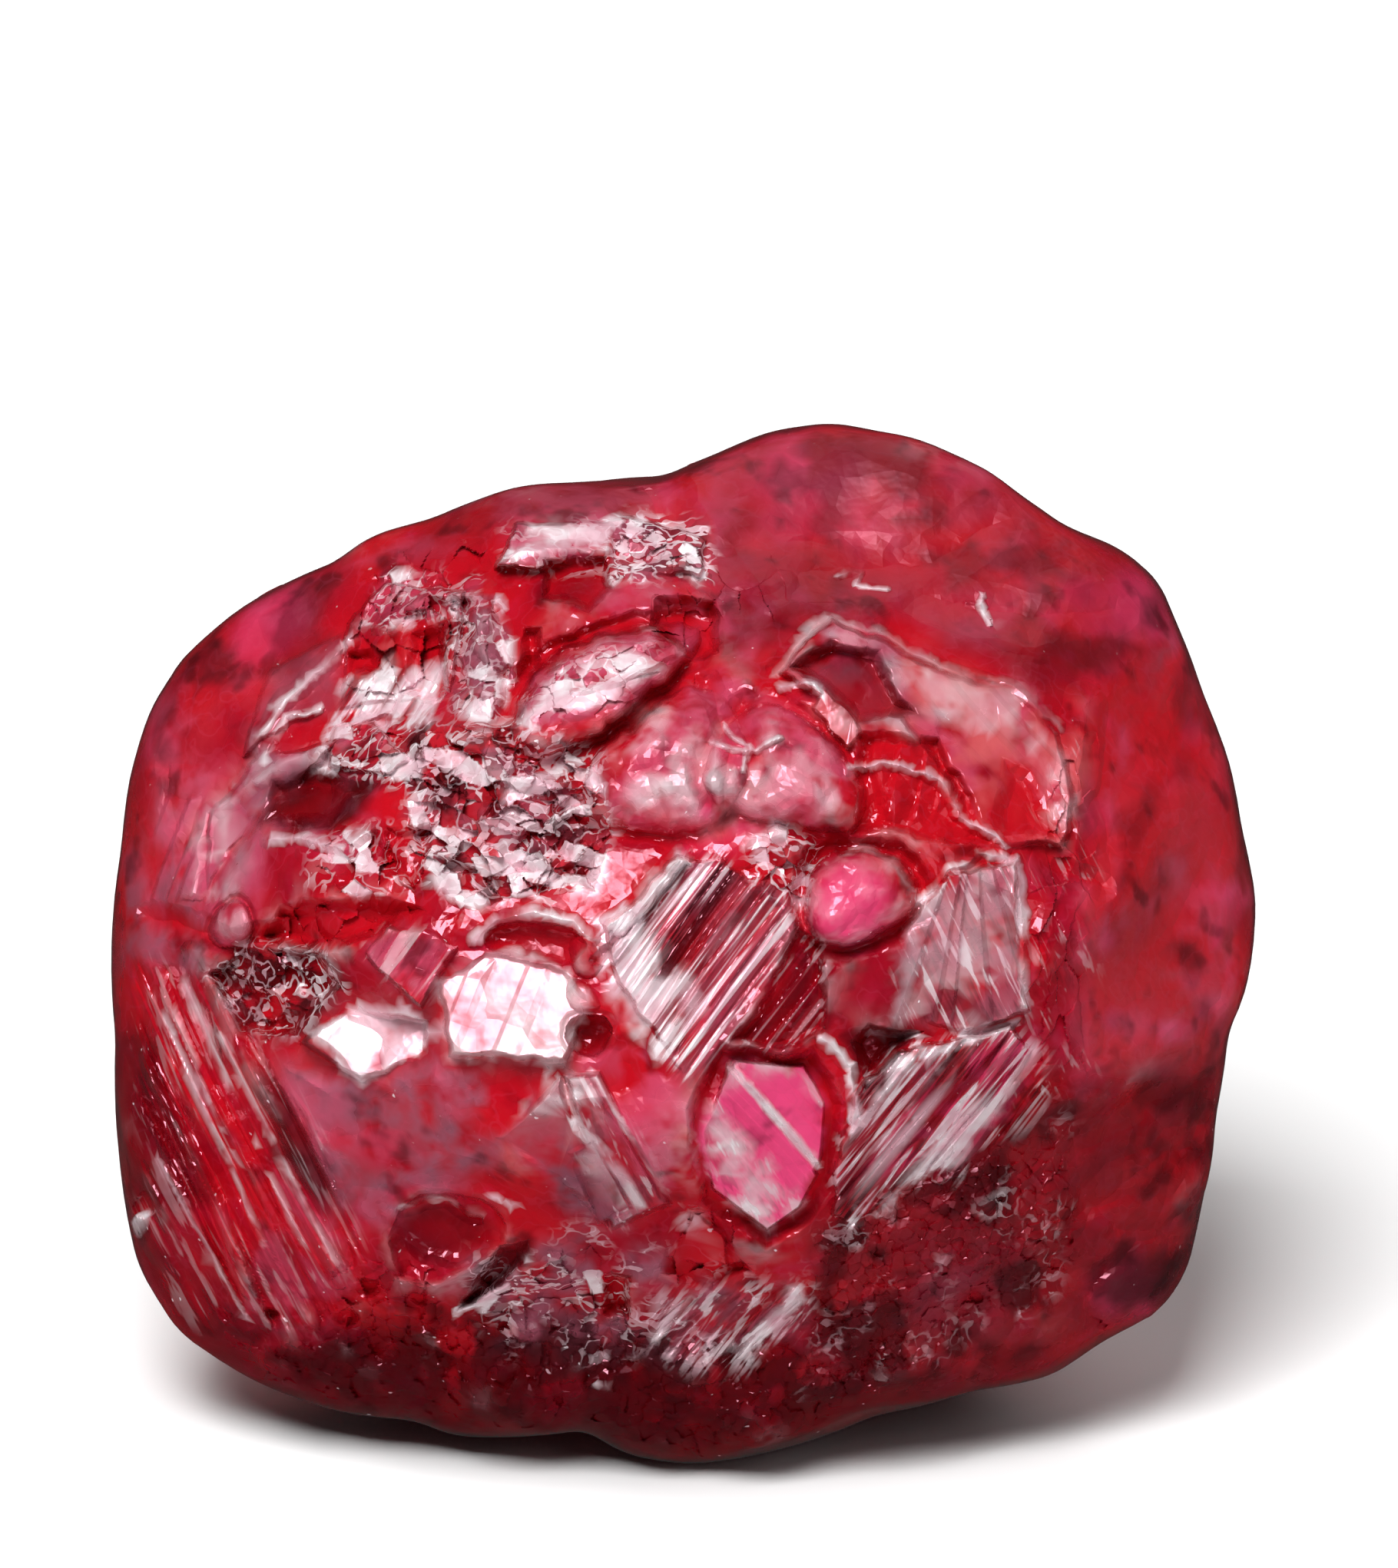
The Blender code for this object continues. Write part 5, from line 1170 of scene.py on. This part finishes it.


# Bright red: partly the stone's own red, partly a painted red glow in windows, hollows and moats.
def scarlet_and_glow_places(paint):
    paint.area(LEDGE, 1.0)
    paint.area(CORNER_WINDOW, 1.0)
    paint.area([(-3.6, 2.75), (-3.5, 3.15), (-3.1, 3.2), (-2.85, 3.35), (-2.4, 3.3), (-2.4, 2.6)], 0.9)
    paint.area(RED_HOLLOW, 0.8)
    paint.area([(-0.15, -3.35), (0.0, -2.65), (0.5, -3.0), (0.6, -3.5)], 0.8)
    paint.area([(-3.15, 0.6), (-3.05, 1.3), (-2.5, 1.3), (-2.7, 0.55)], 0.8)
    paint.clouds(RIGHT_FLANK, 0.4, 0.65, 331, 1.0, 0.5, stretch=1.8, turn=80)
    paint.clouds(LOWER_SLOPE, 0.4, 0.25, 332, 0.4)
    paint.clouds(TOP_SLOPE, 0.5, 0.35, 333, 0.7)
    paint.flakes(CRYSTAL_HEAP, 0.3, 0.35, 334, 0.9)
    paint.stroke([(-2.3, 0.3), (-1.9, 0.5), (-1.2, 0.55), (-0.9, 0.2)], 0.14, 0.8)
    paint.stroke([(-1.7, 2.1), (-0.9, 2.2), (-0.2, 2.45), (0.25, 2.95)], 0.16, 0.9)
    paint.stroke([(-5.3, -1.2), (-4.6, -2.4), (-3.7, -3.3)], 0.14, 0.8)
    paint.stroke([(-4.9, -1.4), (-4.1, -2.8), (-3.6, -3.2)], 0.12, 0.8)
    paint.spot((0.5, 1.0), (0.9, 0.22), -20, 0.8)
    paint.area([(-0.6, -3.9), (-0.9, -3.9), (-0.85, -3.5), (-0.55, -3.45)], 1.0)


# Painted shade in hollows, pits, slots and the notch, along the left edge, at the foot and in the gaps
# between steps and flakes; partly a darker red tone on the slopes.
def dark_places(paint):
    paint.area(WING_WINDOW, 0.6)
    paint.area(ARCH_HOLLOW, 0.95, 0.2)
    paint.clouds(PITTED_HOLLOW, 0.25, 0.5, 341, 0.9)
    paint.area(SLOT, 0.85)
    paint.area([(-1.4, -2.2), (-1.15, -2.1), (-0.7, -2.6), (-0.8, -2.85), (-1.2, -2.65)], 0.35, 0.2)
    paint.area([(0.6, -0.9), (1.15, 0.2), (1.45, 0.0), (1.5, -0.85), (0.9, -1.1)], 0.5, 0.2)
    paint.area(WEDGE_NOTCH, 0.85)
    paint.area(LEDGE_HOLLOW, 0.5)
    paint.spot((-2.5, -2.95), (0.5, 0.3), 20, 0.6)
    paint.spot((-0.98, -0.9), (0.24, 0.2), 0, 0.7)
    paint.spot((-1.5, 0.05), (0.4, 0.16), -5, 0.5)
    paint.area([(-3.4, 3.9), (-2.4, 4.6), (-0.3, 5.0), (-0.2, 4.6), (-2.0, 4.2)], 0.45, 0.4)
    paint.clouds([(-5.8, 1.7), (-5.2, 3.2), (-3.8, 4.0), (-3.6, 3.2), (-4.9, 1.8)], 0.5, 0.4, 342, 0.6)
    paint.clouds(TOP_SLOPE, 0.5, 0.4, 343, 0.7)
    paint.area(TOP_SLOPE, 0.25, 0.5)
    paint.area([(0.4, 3.0), (0.3, 4.2), (3.0, 4.2), (4.3, 2.9), (4.1, 2.6), (1.8, 3.45), (1.2, 3.3)],
               0.45, 0.3)
    paint.area([(-6.1, -2.9), (-6.1, -0.9), (-5.6, -0.8), (-4.9, -2.7)], 0.7, 0.3)
    paint.area([(-6.1, -0.9), (-6.1, 2.4), (-5.6, 2.6), (-5.65, -0.9)], 0.4, 0.3)
    paint.area(LOWER_SLOPE, 0.55, 0.9)
    paint.clouds(LOWER_SLOPE, 0.5, 0.6, 344, 0.9, 0.6)
    paint.clouds(RIGHT_FLANK, 0.4, 0.2, 345, 0.5, stretch=1.8, turn=80)
    paint.clouds(FOOT, 0.4, 0.7, 346, 0.95, 0.6)
    paint.streaks(BLOCK, 55, 0.15, 0.25, 347, 0.6)
    paint.streaks(WEDGE, 51, 0.15, 0.15, 348, 0.5)
    paint.streaks(FLANK_PLATES, -64, 0.3, 0.4, 349, 0.8)
    paint.streaks(FAN, 0, 0.16, 0.25, 350, 0.5, apex=FAN_APEX)
    paint.flakes(CRYSTAL_HEAP, 0.22, 0.2, 360, 0.8)
    paint.area([(-6.0, -2.6), (-5.2, -3.4), (-4.2, -4.4), (2.0, -4.5), (2.0, -5.6), (-5.0, -5.0)], 0.7, 0.7)


def paint_masks(points, normals):
    """Where the stone is pink, grey-purple, coral, bright red or pink-red, and where it gets painted
    highlights and painted shade, seen from the front. The pink and grey-purple are partly a painted sheen,
    the bright reds partly a painted glow.
    """
    paint = Paint(points, normals)
    masks = {}
    for name, places in (
        ("rose_and_sheen", rose_and_sheen_places), ("smoke_and_sheen", smoky_sheen_places), ("painted_highlight", highlight_places),
        ("crystals", crystal_places), ("rising", rising_places), ("falling", falling_places),
        ("scarlet_and_glow", scarlet_and_glow_places),
    ):
        places(paint)
        masks[name] = paint.done()
    paint.clouds([
        (2.1, 2.3), (2.4, 3.0), (3.5, 2.6), (4.1, 2.5), (4.15, 1.4), (3.9, 0.95), (3.2, 1.05), (2.8, 1.6),
    ], 0.8, 0.75, 317, 0.85)
    paint.area(LEDGE_BAR, 0.9)
    masks["coral"] = paint.done()
    # Pink-red tone, and a painted glow in the window crystal.
    paint.area(WINDOW, 1.0)
    paint.spot((0.25, 1.15), (0.35, 0.3), amount=0.7)
    paint.spot((4.6, -3.6), (0.4, 0.35), amount=0.25)
    paint.clouds(RIGHT_FLANK, 0.4, 0.35, 381, 0.3, 0.4, stretch=1.6, turn=80)
    paint.clouds(TOP_SLOPE, 0.5, 0.5, 382, 0.2, 0.4)
    paint.spot((1.4, 4.9), (0.5, 0.25), amount=0.3)
    paint.spot((4.7, 3.5), (0.35, 0.4), amount=0.3)
    paint.spot((-4.3, 3.3), (0.45, 0.3), 40, 0.3)
    paint.clouds([(2.0, -2.3), (2.6, -1.2), (3.6, -0.9), (3.4, -1.7), (2.6, -2.3)], 0.3, 0.6, 375, 0.5)
    paint.spot((1.7, 0.45), (0.4, 0.42), amount=0.6)
    masks["magenta_and_glow"] = paint.done()
    for slope in (TOP_SLOPE, LEFT_SLOPE, RIGHT_FLANK):
        paint.area(slope, 1.0, 0.5)
    paint.area([(-2.3, 0.3), (-2.0, 0.9), (-0.9, 1.2), (-0.4, 0.95), (-0.8, 0.3), (-1.5, 0.55)], 0.6, 0.3)
    paint.area(LOWER_SLOPE, 0.5, 0.5)
    paint.area([(-4.0, -1.5), (-4.0, -0.5), (-2.7, -0.4), (-1.2, 0.1), (-0.95, -1.3), (-2.5, -1.35)],
               0.9, 0.2)
    facing = normals @ FRONT[2]
    hidden = 1 - ease(facing, -0.1, 0.15)
    masks["matt"] = np.maximum(paint.done(), HIDDEN_MATT * hidden)
    dark_places(paint)
    # Painted shade: a dark band along the outline, and darker towards the bottom.
    rim = (1 - ease(facing, 0.08, 0.38)) * (1 - ease(-facing, 0.05, 0.2))
    low = 1 - ease((points @ FRONT.T)[:, 1], *SHADE_BELOW)
    masks["dark"] = np.clip(np.maximum(paint.done(), np.maximum(RIM_SHADE * rim, LOW_SHADE * low)), 0, 1)
    return masks


def relief_masks(points, triangles):
    """How sharp each edge stands out, and how deep each hollow lies, from the mesh itself; the material
    paints glints along the sharp edges and a red glow in the hollows.
    """
    reach = habit_reach(points / np.linalg.norm(points, axis=1)[:, None])
    sunk = reach - np.linalg.norm(points, axis=1)
    edges = np.concatenate((triangles[:, (0, 1)], triangles[:, (1, 2)], triangles[:, (2, 0)]))
    count = np.bincount(edges[:, 0], minlength=len(points)) + 1e-9

    def blur(values, times):
        for _ in range(times):
            spread = np.bincount(edges[:, 0], values[edges[:, 1]], len(points)) / count
            values = 0.5 * values + 0.5 * spread
        return values

    level = blur(sunk, LEVEL_BLURS)
    hollow = ease(sunk - level, 0.0, 0.09)
    ridge = ease(level - blur(sunk, EDGE_BLURS), 0.02, 0.12)
    return {"hollow": blur(hollow, 1), "ridge": blur(ridge, 1)}


def add_masks(stone, shift):
    points, triangles = mesh_arrays(stone.data)
    points = points / MM
    points[:, :2] += shift
    points[:, 2] -= REST_FACE_DEPTH
    normals = surface_normals(points, triangles)
    masks = paint_masks(points, normals)
    masks.update(relief_masks(points, triangles))
    for name, values in masks.items():
        attribute = stone.data.attributes.new(name, "FLOAT", "POINT")
        attribute.data.foreach_set("value", np.clip(values, 0, 1).astype(np.float32))


class Socket:
    """A shader value that Python's operators work on."""

    def __init__(self, nodes, socket):
        self.nodes, self.socket = nodes, socket

    def _math(self, operation, *values, clamp=False):
        return self.nodes.make("ShaderNodeMath", {"operation": operation, "use_clamp": clamp}, values)

    def __add__(self, other):
        return self._math("ADD", self, other)

    def __sub__(self, other):
        return self._math("SUBTRACT", self, other)

    def __mul__(self, other):
        return self._math("MULTIPLY", self, other)

    __radd__, __rmul__ = __add__, __mul__

    def __rsub__(self, other):
        return self._math("SUBTRACT", other, self)

    def clamped(self):
        return self._math("ADD", self, 0.0, clamp=True)


class Nodes:
    """Makes a material's nodes."""

    def __init__(self, material):
        material.use_nodes = True
        self.tree = material.node_tree
        self.shader = self.tree.nodes["Principled BSDF"]

    def make(self, kind, settings=None, values=(), output=0):
        node = self.tree.nodes.new(kind)
        for name, setting in (settings or {}).items():
            setattr(node, name, setting)
        pairs = values.items() if isinstance(values, dict) else enumerate(values)
        for name, value in pairs:
            self.join(node.inputs[name], value)
        return Socket(self, node.outputs[output])

    def join(self, where, value):
        if isinstance(value, Socket):
            self.tree.links.new(value.socket, where)
        else:
            where.default_value = value

    def mask(self, name):
        return self.make("ShaderNodeAttribute", {"attribute_name": name}, output="Fac")

    def mix(self, share, first, second):
        values = {0: share, 6: first, 7: second}
        return self.make("ShaderNodeMix", {"data_type": "RGBA"}, values, output=2)

    def noise(self, place, scale, detail=3.0, rough=0.6):
        values = {"Vector": place, "Scale": scale, "Detail": detail, "Roughness": rough}
        return self.make("ShaderNodeTexNoise", {}, values)

    def lines(self, place, angle, scale):
        """Noise drawn out into fine lines at that angle on the front."""
        turn = math.radians(angle)
        along = math.cos(turn) * FRONT[0] + math.sin(turn) * FRONT[1]
        over = math.cos(turn) * FRONT[1] - math.sin(turn) * FRONT[0]
        dot = {"operation": "DOT_PRODUCT"}
        shares = [
            self.make("ShaderNodeVectorMath", dot, (place, tuple(way)), output="Value")
            for way in (along * 0.035, over, FRONT[2] * 0.3)
        ]
        drawn_out = self.make("ShaderNodeCombineXYZ", {}, shares)
        return self.noise(drawn_out, scale, 2.0, 0.65)

    def flakes(self, place, scale):
        """Small uneven cells, with a number from 0 to 1 for each."""
        colour = self.make("ShaderNodeTexVoronoi", {}, {"Vector": place, "Scale": scale}, output="Color")
        return self.make("ShaderNodeSeparateColor", {}, [colour])

    def between(self, value, low, high):
        return self.make("ShaderNodeMapRange", {"interpolation_type": "SMOOTHSTEP"}, {
            "Value": value, "From Min": low, "From Max": high,
        })


DIAMOND_IOR = 2.42
# The stone's colours. Scarlet and magenta also serve as painted glow, the rose and smoky tones partly as
# painted sheen, the wine red also as painted shade, and the last two only as painted highlights.
CRIMSON = (0.33, 0.003, 0.014, 1)
WINE_AND_SHADE = (0.028, 0.0005, 0.001, 1)
SCARLET_AND_GLOW = (0.53, 0.004, 0.011, 1)
RASPBERRY = (0.50, 0.012, 0.05, 1)
ROSE_AND_SHEEN = (0.58, 0.06, 0.13, 1)
SMOKE_AND_SHEEN = (0.30, 0.09, 0.14, 1)
CORAL = (0.66, 0.12, 0.13, 1)
MAGENTA_AND_GLOW = (0.92, 0.07, 0.23, 1)
HIGHLIGHT_WHITE = (0.98, 0.88, 0.92, 1)
HIGHLIGHT_PINK = (0.80, 0.36, 0.46, 1)


def crystal_material():
    material = bpy.data.materials.new("crimson_crystal")
    nodes = Nodes(material)
    place = nodes.make("ShaderNodeTexCoord", output="Object")
    cloud = nodes.noise(place, 700, 2.5)
    patch = nodes.noise(place, 1700, 2.5)
    fold = nodes.noise(place, 3200, 1.5) - 0.5
    wrinkle = nodes.between(fold * fold, 0.0007, 0.0001)
    speck = nodes.noise(place, 2600, 2.0)
    grain = nodes.noise(place, 9000, 1.0)
    warp = {"Vector": place, "Scale": 5000, "Detail": 0.0}
    warp = nodes.make("ShaderNodeTexNoise", {}, warp, output="Color")
    drawn = nodes.make("ShaderNodeVectorMath", {"operation": "MULTIPLY"}, (place, (0.6, 1.3, 1.3)))
    bent = nodes.make("ShaderNodeVectorMath", {"operation": "MULTIPLY_ADD"}, (warp, (0.0003,) * 3, drawn))
    flake = nodes.flakes(bent, 7500)
    rising = nodes.lines(place, 53, 9000)
    falling = nodes.lines(place, -64, 9000)
    rose_and_sheen, smoke_and_sheen, coral = nodes.mask("rose_and_sheen"), nodes.mask("smoke_and_sheen"), nodes.mask("coral")
    crystals, rise_lines, fall_lines = nodes.mask("crystals"), nodes.mask("rising"), nodes.mask("falling")
    dark, hollow, matt = nodes.mask("dark"), nodes.mask("hollow"), nodes.mask("matt")

    colour = nodes.mix(nodes.between(cloud, 0.35, 0.65), CRIMSON, SCARLET_AND_GLOW)
    colour = nodes.mix(nodes.between(patch, 0.54, 0.8) * 0.7, colour, RASPBERRY)
    # Grey-purple tone, partly a painted sheen of smooth and frosted faces.
    colour = nodes.mix(smoke_and_sheen * nodes.between(speck, 0.2, 0.6), colour, SMOKE_AND_SHEEN)
    # Pink tone, partly a painted sheen of frosted faces.
    colour = nodes.mix(rose_and_sheen * nodes.between(speck, 0.15, 0.6), colour, ROSE_AND_SHEEN)
    colour = nodes.mix(coral * nodes.between(patch, 0.3, 0.6), colour, CORAL)
    # Pink-red tone, partly a painted glow in the window crystal.
    colour = nodes.mix(nodes.mask("magenta_and_glow"), colour, MAGENTA_AND_GLOW)
    # Bright red, partly the stone's own red and partly a painted red glow in windows, hollows and moats.
    colour = nodes.mix(nodes.mask("scarlet_and_glow") * 0.9, colour, SCARLET_AND_GLOW)
    colour = nodes.mix(nodes.between(patch, 0.45, 0.3) * (1 - coral) * 0.6, colour, WINE_AND_SHADE)
    colour = nodes.mix(wrinkle * 0.1, colour, ROSE_AND_SHEEN)
    # Painted shade: the shade mask, dark gaps between glinting flakes and dark lines between growth steps,
    # all mixed towards wine red.
    shade = dark + crystals * nodes.between(flake, 0.45, 0.35) * 0.6
    shade = shade + rise_lines * nodes.between(rising, 0.5, 0.42) * 0.7
    shade = shade + fall_lines * nodes.between(falling, 0.48, 0.4) * 0.7
    colour = nodes.mix(shade.clamped() * 0.92, colour, WINE_AND_SHADE)
    # Painted red glow in the hollows, where the surface lies deeper than round about.
    colour = nodes.mix((hollow * (1 - dark * 0.7) * 0.8).clamped(), colour, SCARLET_AND_GLOW)
    # Painted highlights and glints in white and pearl, on polished faces, crests, ridges, flakes, specks and
    # step lines.
    painted_highlight = nodes.mask("painted_highlight") * nodes.between(speck, 0.2, 0.5)
    painted_highlight = painted_highlight + nodes.mask("ridge") * (1 - matt) * nodes.between(speck, 0.35, 0.6) * 0.35
    painted_highlight = painted_highlight + crystals * (nodes.between(flake, 0.7, 0.8) + wrinkle * 0.8)
    painted_highlight = painted_highlight + nodes.between(grain + crystals * 0.08, 0.77, 0.81) * (1 - matt) * 0.7
    painted_highlight = painted_highlight + rise_lines * nodes.between(rising, 0.52, 0.6)
    painted_highlight = (painted_highlight + fall_lines * nodes.between(falling, 0.56, 0.64) * 0.8).clamped()
    colour = nodes.mix(painted_highlight, colour, nodes.mix(nodes.between(patch, 0.4, 0.6) * 0.6, HIGHLIGHT_WHITE, HIGHLIGHT_PINK))

    frost = (smoke_and_sheen + rose_and_sheen + painted_highlight) * 0.12 + speck * 0.25 + matt * (1 - painted_highlight) * 0.3
    rough = (frost - 0.03 - hollow * 0.08).clamped() + 0.05
    relief = speck * 0.7 + grain * 0.3
    relief = relief + rise_lines * rising * 1.5 + fall_lines * falling * 1.5
    bump = nodes.make("ShaderNodeBump", {}, {"Strength": 0.6, "Distance": 0.00003, "Height": relief})
    for name, value in (
        ("Base Color", colour), ("Roughness", rough), ("Metallic", painted_highlight * 0.15), ("Normal", bump),
        ("IOR", DIAMOND_IOR), ("Transmission Weight", 0.25),
        ("Specular IOR Level", 0.1), ("Specular Tint", (1.0, 0.42, 0.54, 1)),
    ):
        nodes.join(nodes.shader.inputs[name], value)
    return material


FLOOR_SIZE = 4.0
LIGHT_DISTANCE = 0.6
LIGHT_TARGET = (0, 0, 0.005)
# Each light's name, azimuth, elevation, size in metres and power.
LIGHTS = (
    ("key", -18, 56, 0.3, 5.4),
    ("fill", 45, 35, 0.3, 0.3),
    ("back", 165, 50, 0.4, 0.9),
)
STUDIO_GLOW = 0.04


def floor_material():
    material = bpy.data.materials.new("pale_floor")
    nodes = Nodes(material)
    for name, value in (("Base Color", (0.9, 0.9, 0.9, 1)), ("Roughness", 0.9), ("Specular IOR Level", 0.1)):
        nodes.join(nodes.shader.inputs[name], value)
    return material


def make_floor():
    bpy.ops.mesh.primitive_plane_add(size=FLOOR_SIZE, location=(0, 0, 0))
    floor = bpy.context.object
    floor.name = "floor"
    floor.data.materials.append(floor_material())
    floor.visible_glossy = False


def aim(thing, towards, distance, target):
    """Puts a light or camera at a distance along a direction, looking at the target."""
    across = Vector((0, 0, 1)).cross(towards).normalized()
    thing.matrix_world = Matrix((across, towards.cross(across), towards)).transposed().to_4x4()
    thing.matrix_world.translation = target + towards * distance


def make_lights():
    for name, azimuth, elevation, size, power in LIGHTS:
        light = bpy.data.lights.new(name, "AREA")
        light.size = size
        light.energy = power
        lamp = bpy.data.objects.new(name, light)
        bpy.context.scene.collection.objects.link(lamp)
        lamp.visible_glossy = name != "back"
        aim(lamp, Vector(side_axes(azimuth, elevation)[2]), LIGHT_DISTANCE, Vector(LIGHT_TARGET))
    world = bpy.data.worlds.new("studio")
    bpy.context.scene.world = world
    world.use_nodes = True
    world.node_tree.nodes["Background"].inputs["Color"].default_value = (1, 1, 1, 1)
    world.node_tree.nodes["Background"].inputs["Strength"].default_value = STUDIO_GLOW


VIEW_CENTRE = (0.157, 1.67)
CAMERA_DISTANCE = 183.0
NEAREST_SEEN = 0.001
LENS = 400.0
SENSOR_WIDTH = 36.0


def make_camera(shift):
    camera = bpy.data.cameras.new("camera")
    camera.lens = LENS
    camera.sensor_width = SENSOR_WIDTH
    camera.clip_start = NEAREST_SEEN
    eye = bpy.data.objects.new("camera", camera)
    bpy.context.scene.collection.objects.link(eye)
    centre = np.array((-shift[X], -shift[Y], REST_FACE_DEPTH)) + np.array((*VIEW_CENTRE, 0.0)) @ FRONT
    aim(eye, Vector(FRONT[2]), CAMERA_DISTANCE * MM, Vector(centre * MM))
    bpy.context.scene.camera = eye


def main():
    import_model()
    bpy.ops.object.select_all(action="DESELECT")
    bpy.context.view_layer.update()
    stone, shift = make_stone()
    add_masks(stone, shift)
    stone.data.materials.clear()
    stone.data.materials.append(crystal_material())
    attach(stone, "root")
    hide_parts("rough_diamond")
    make_floor()
    make_lights()
    make_camera(shift)
    bpy.context.scene.view_settings.view_transform = "Standard"


main()
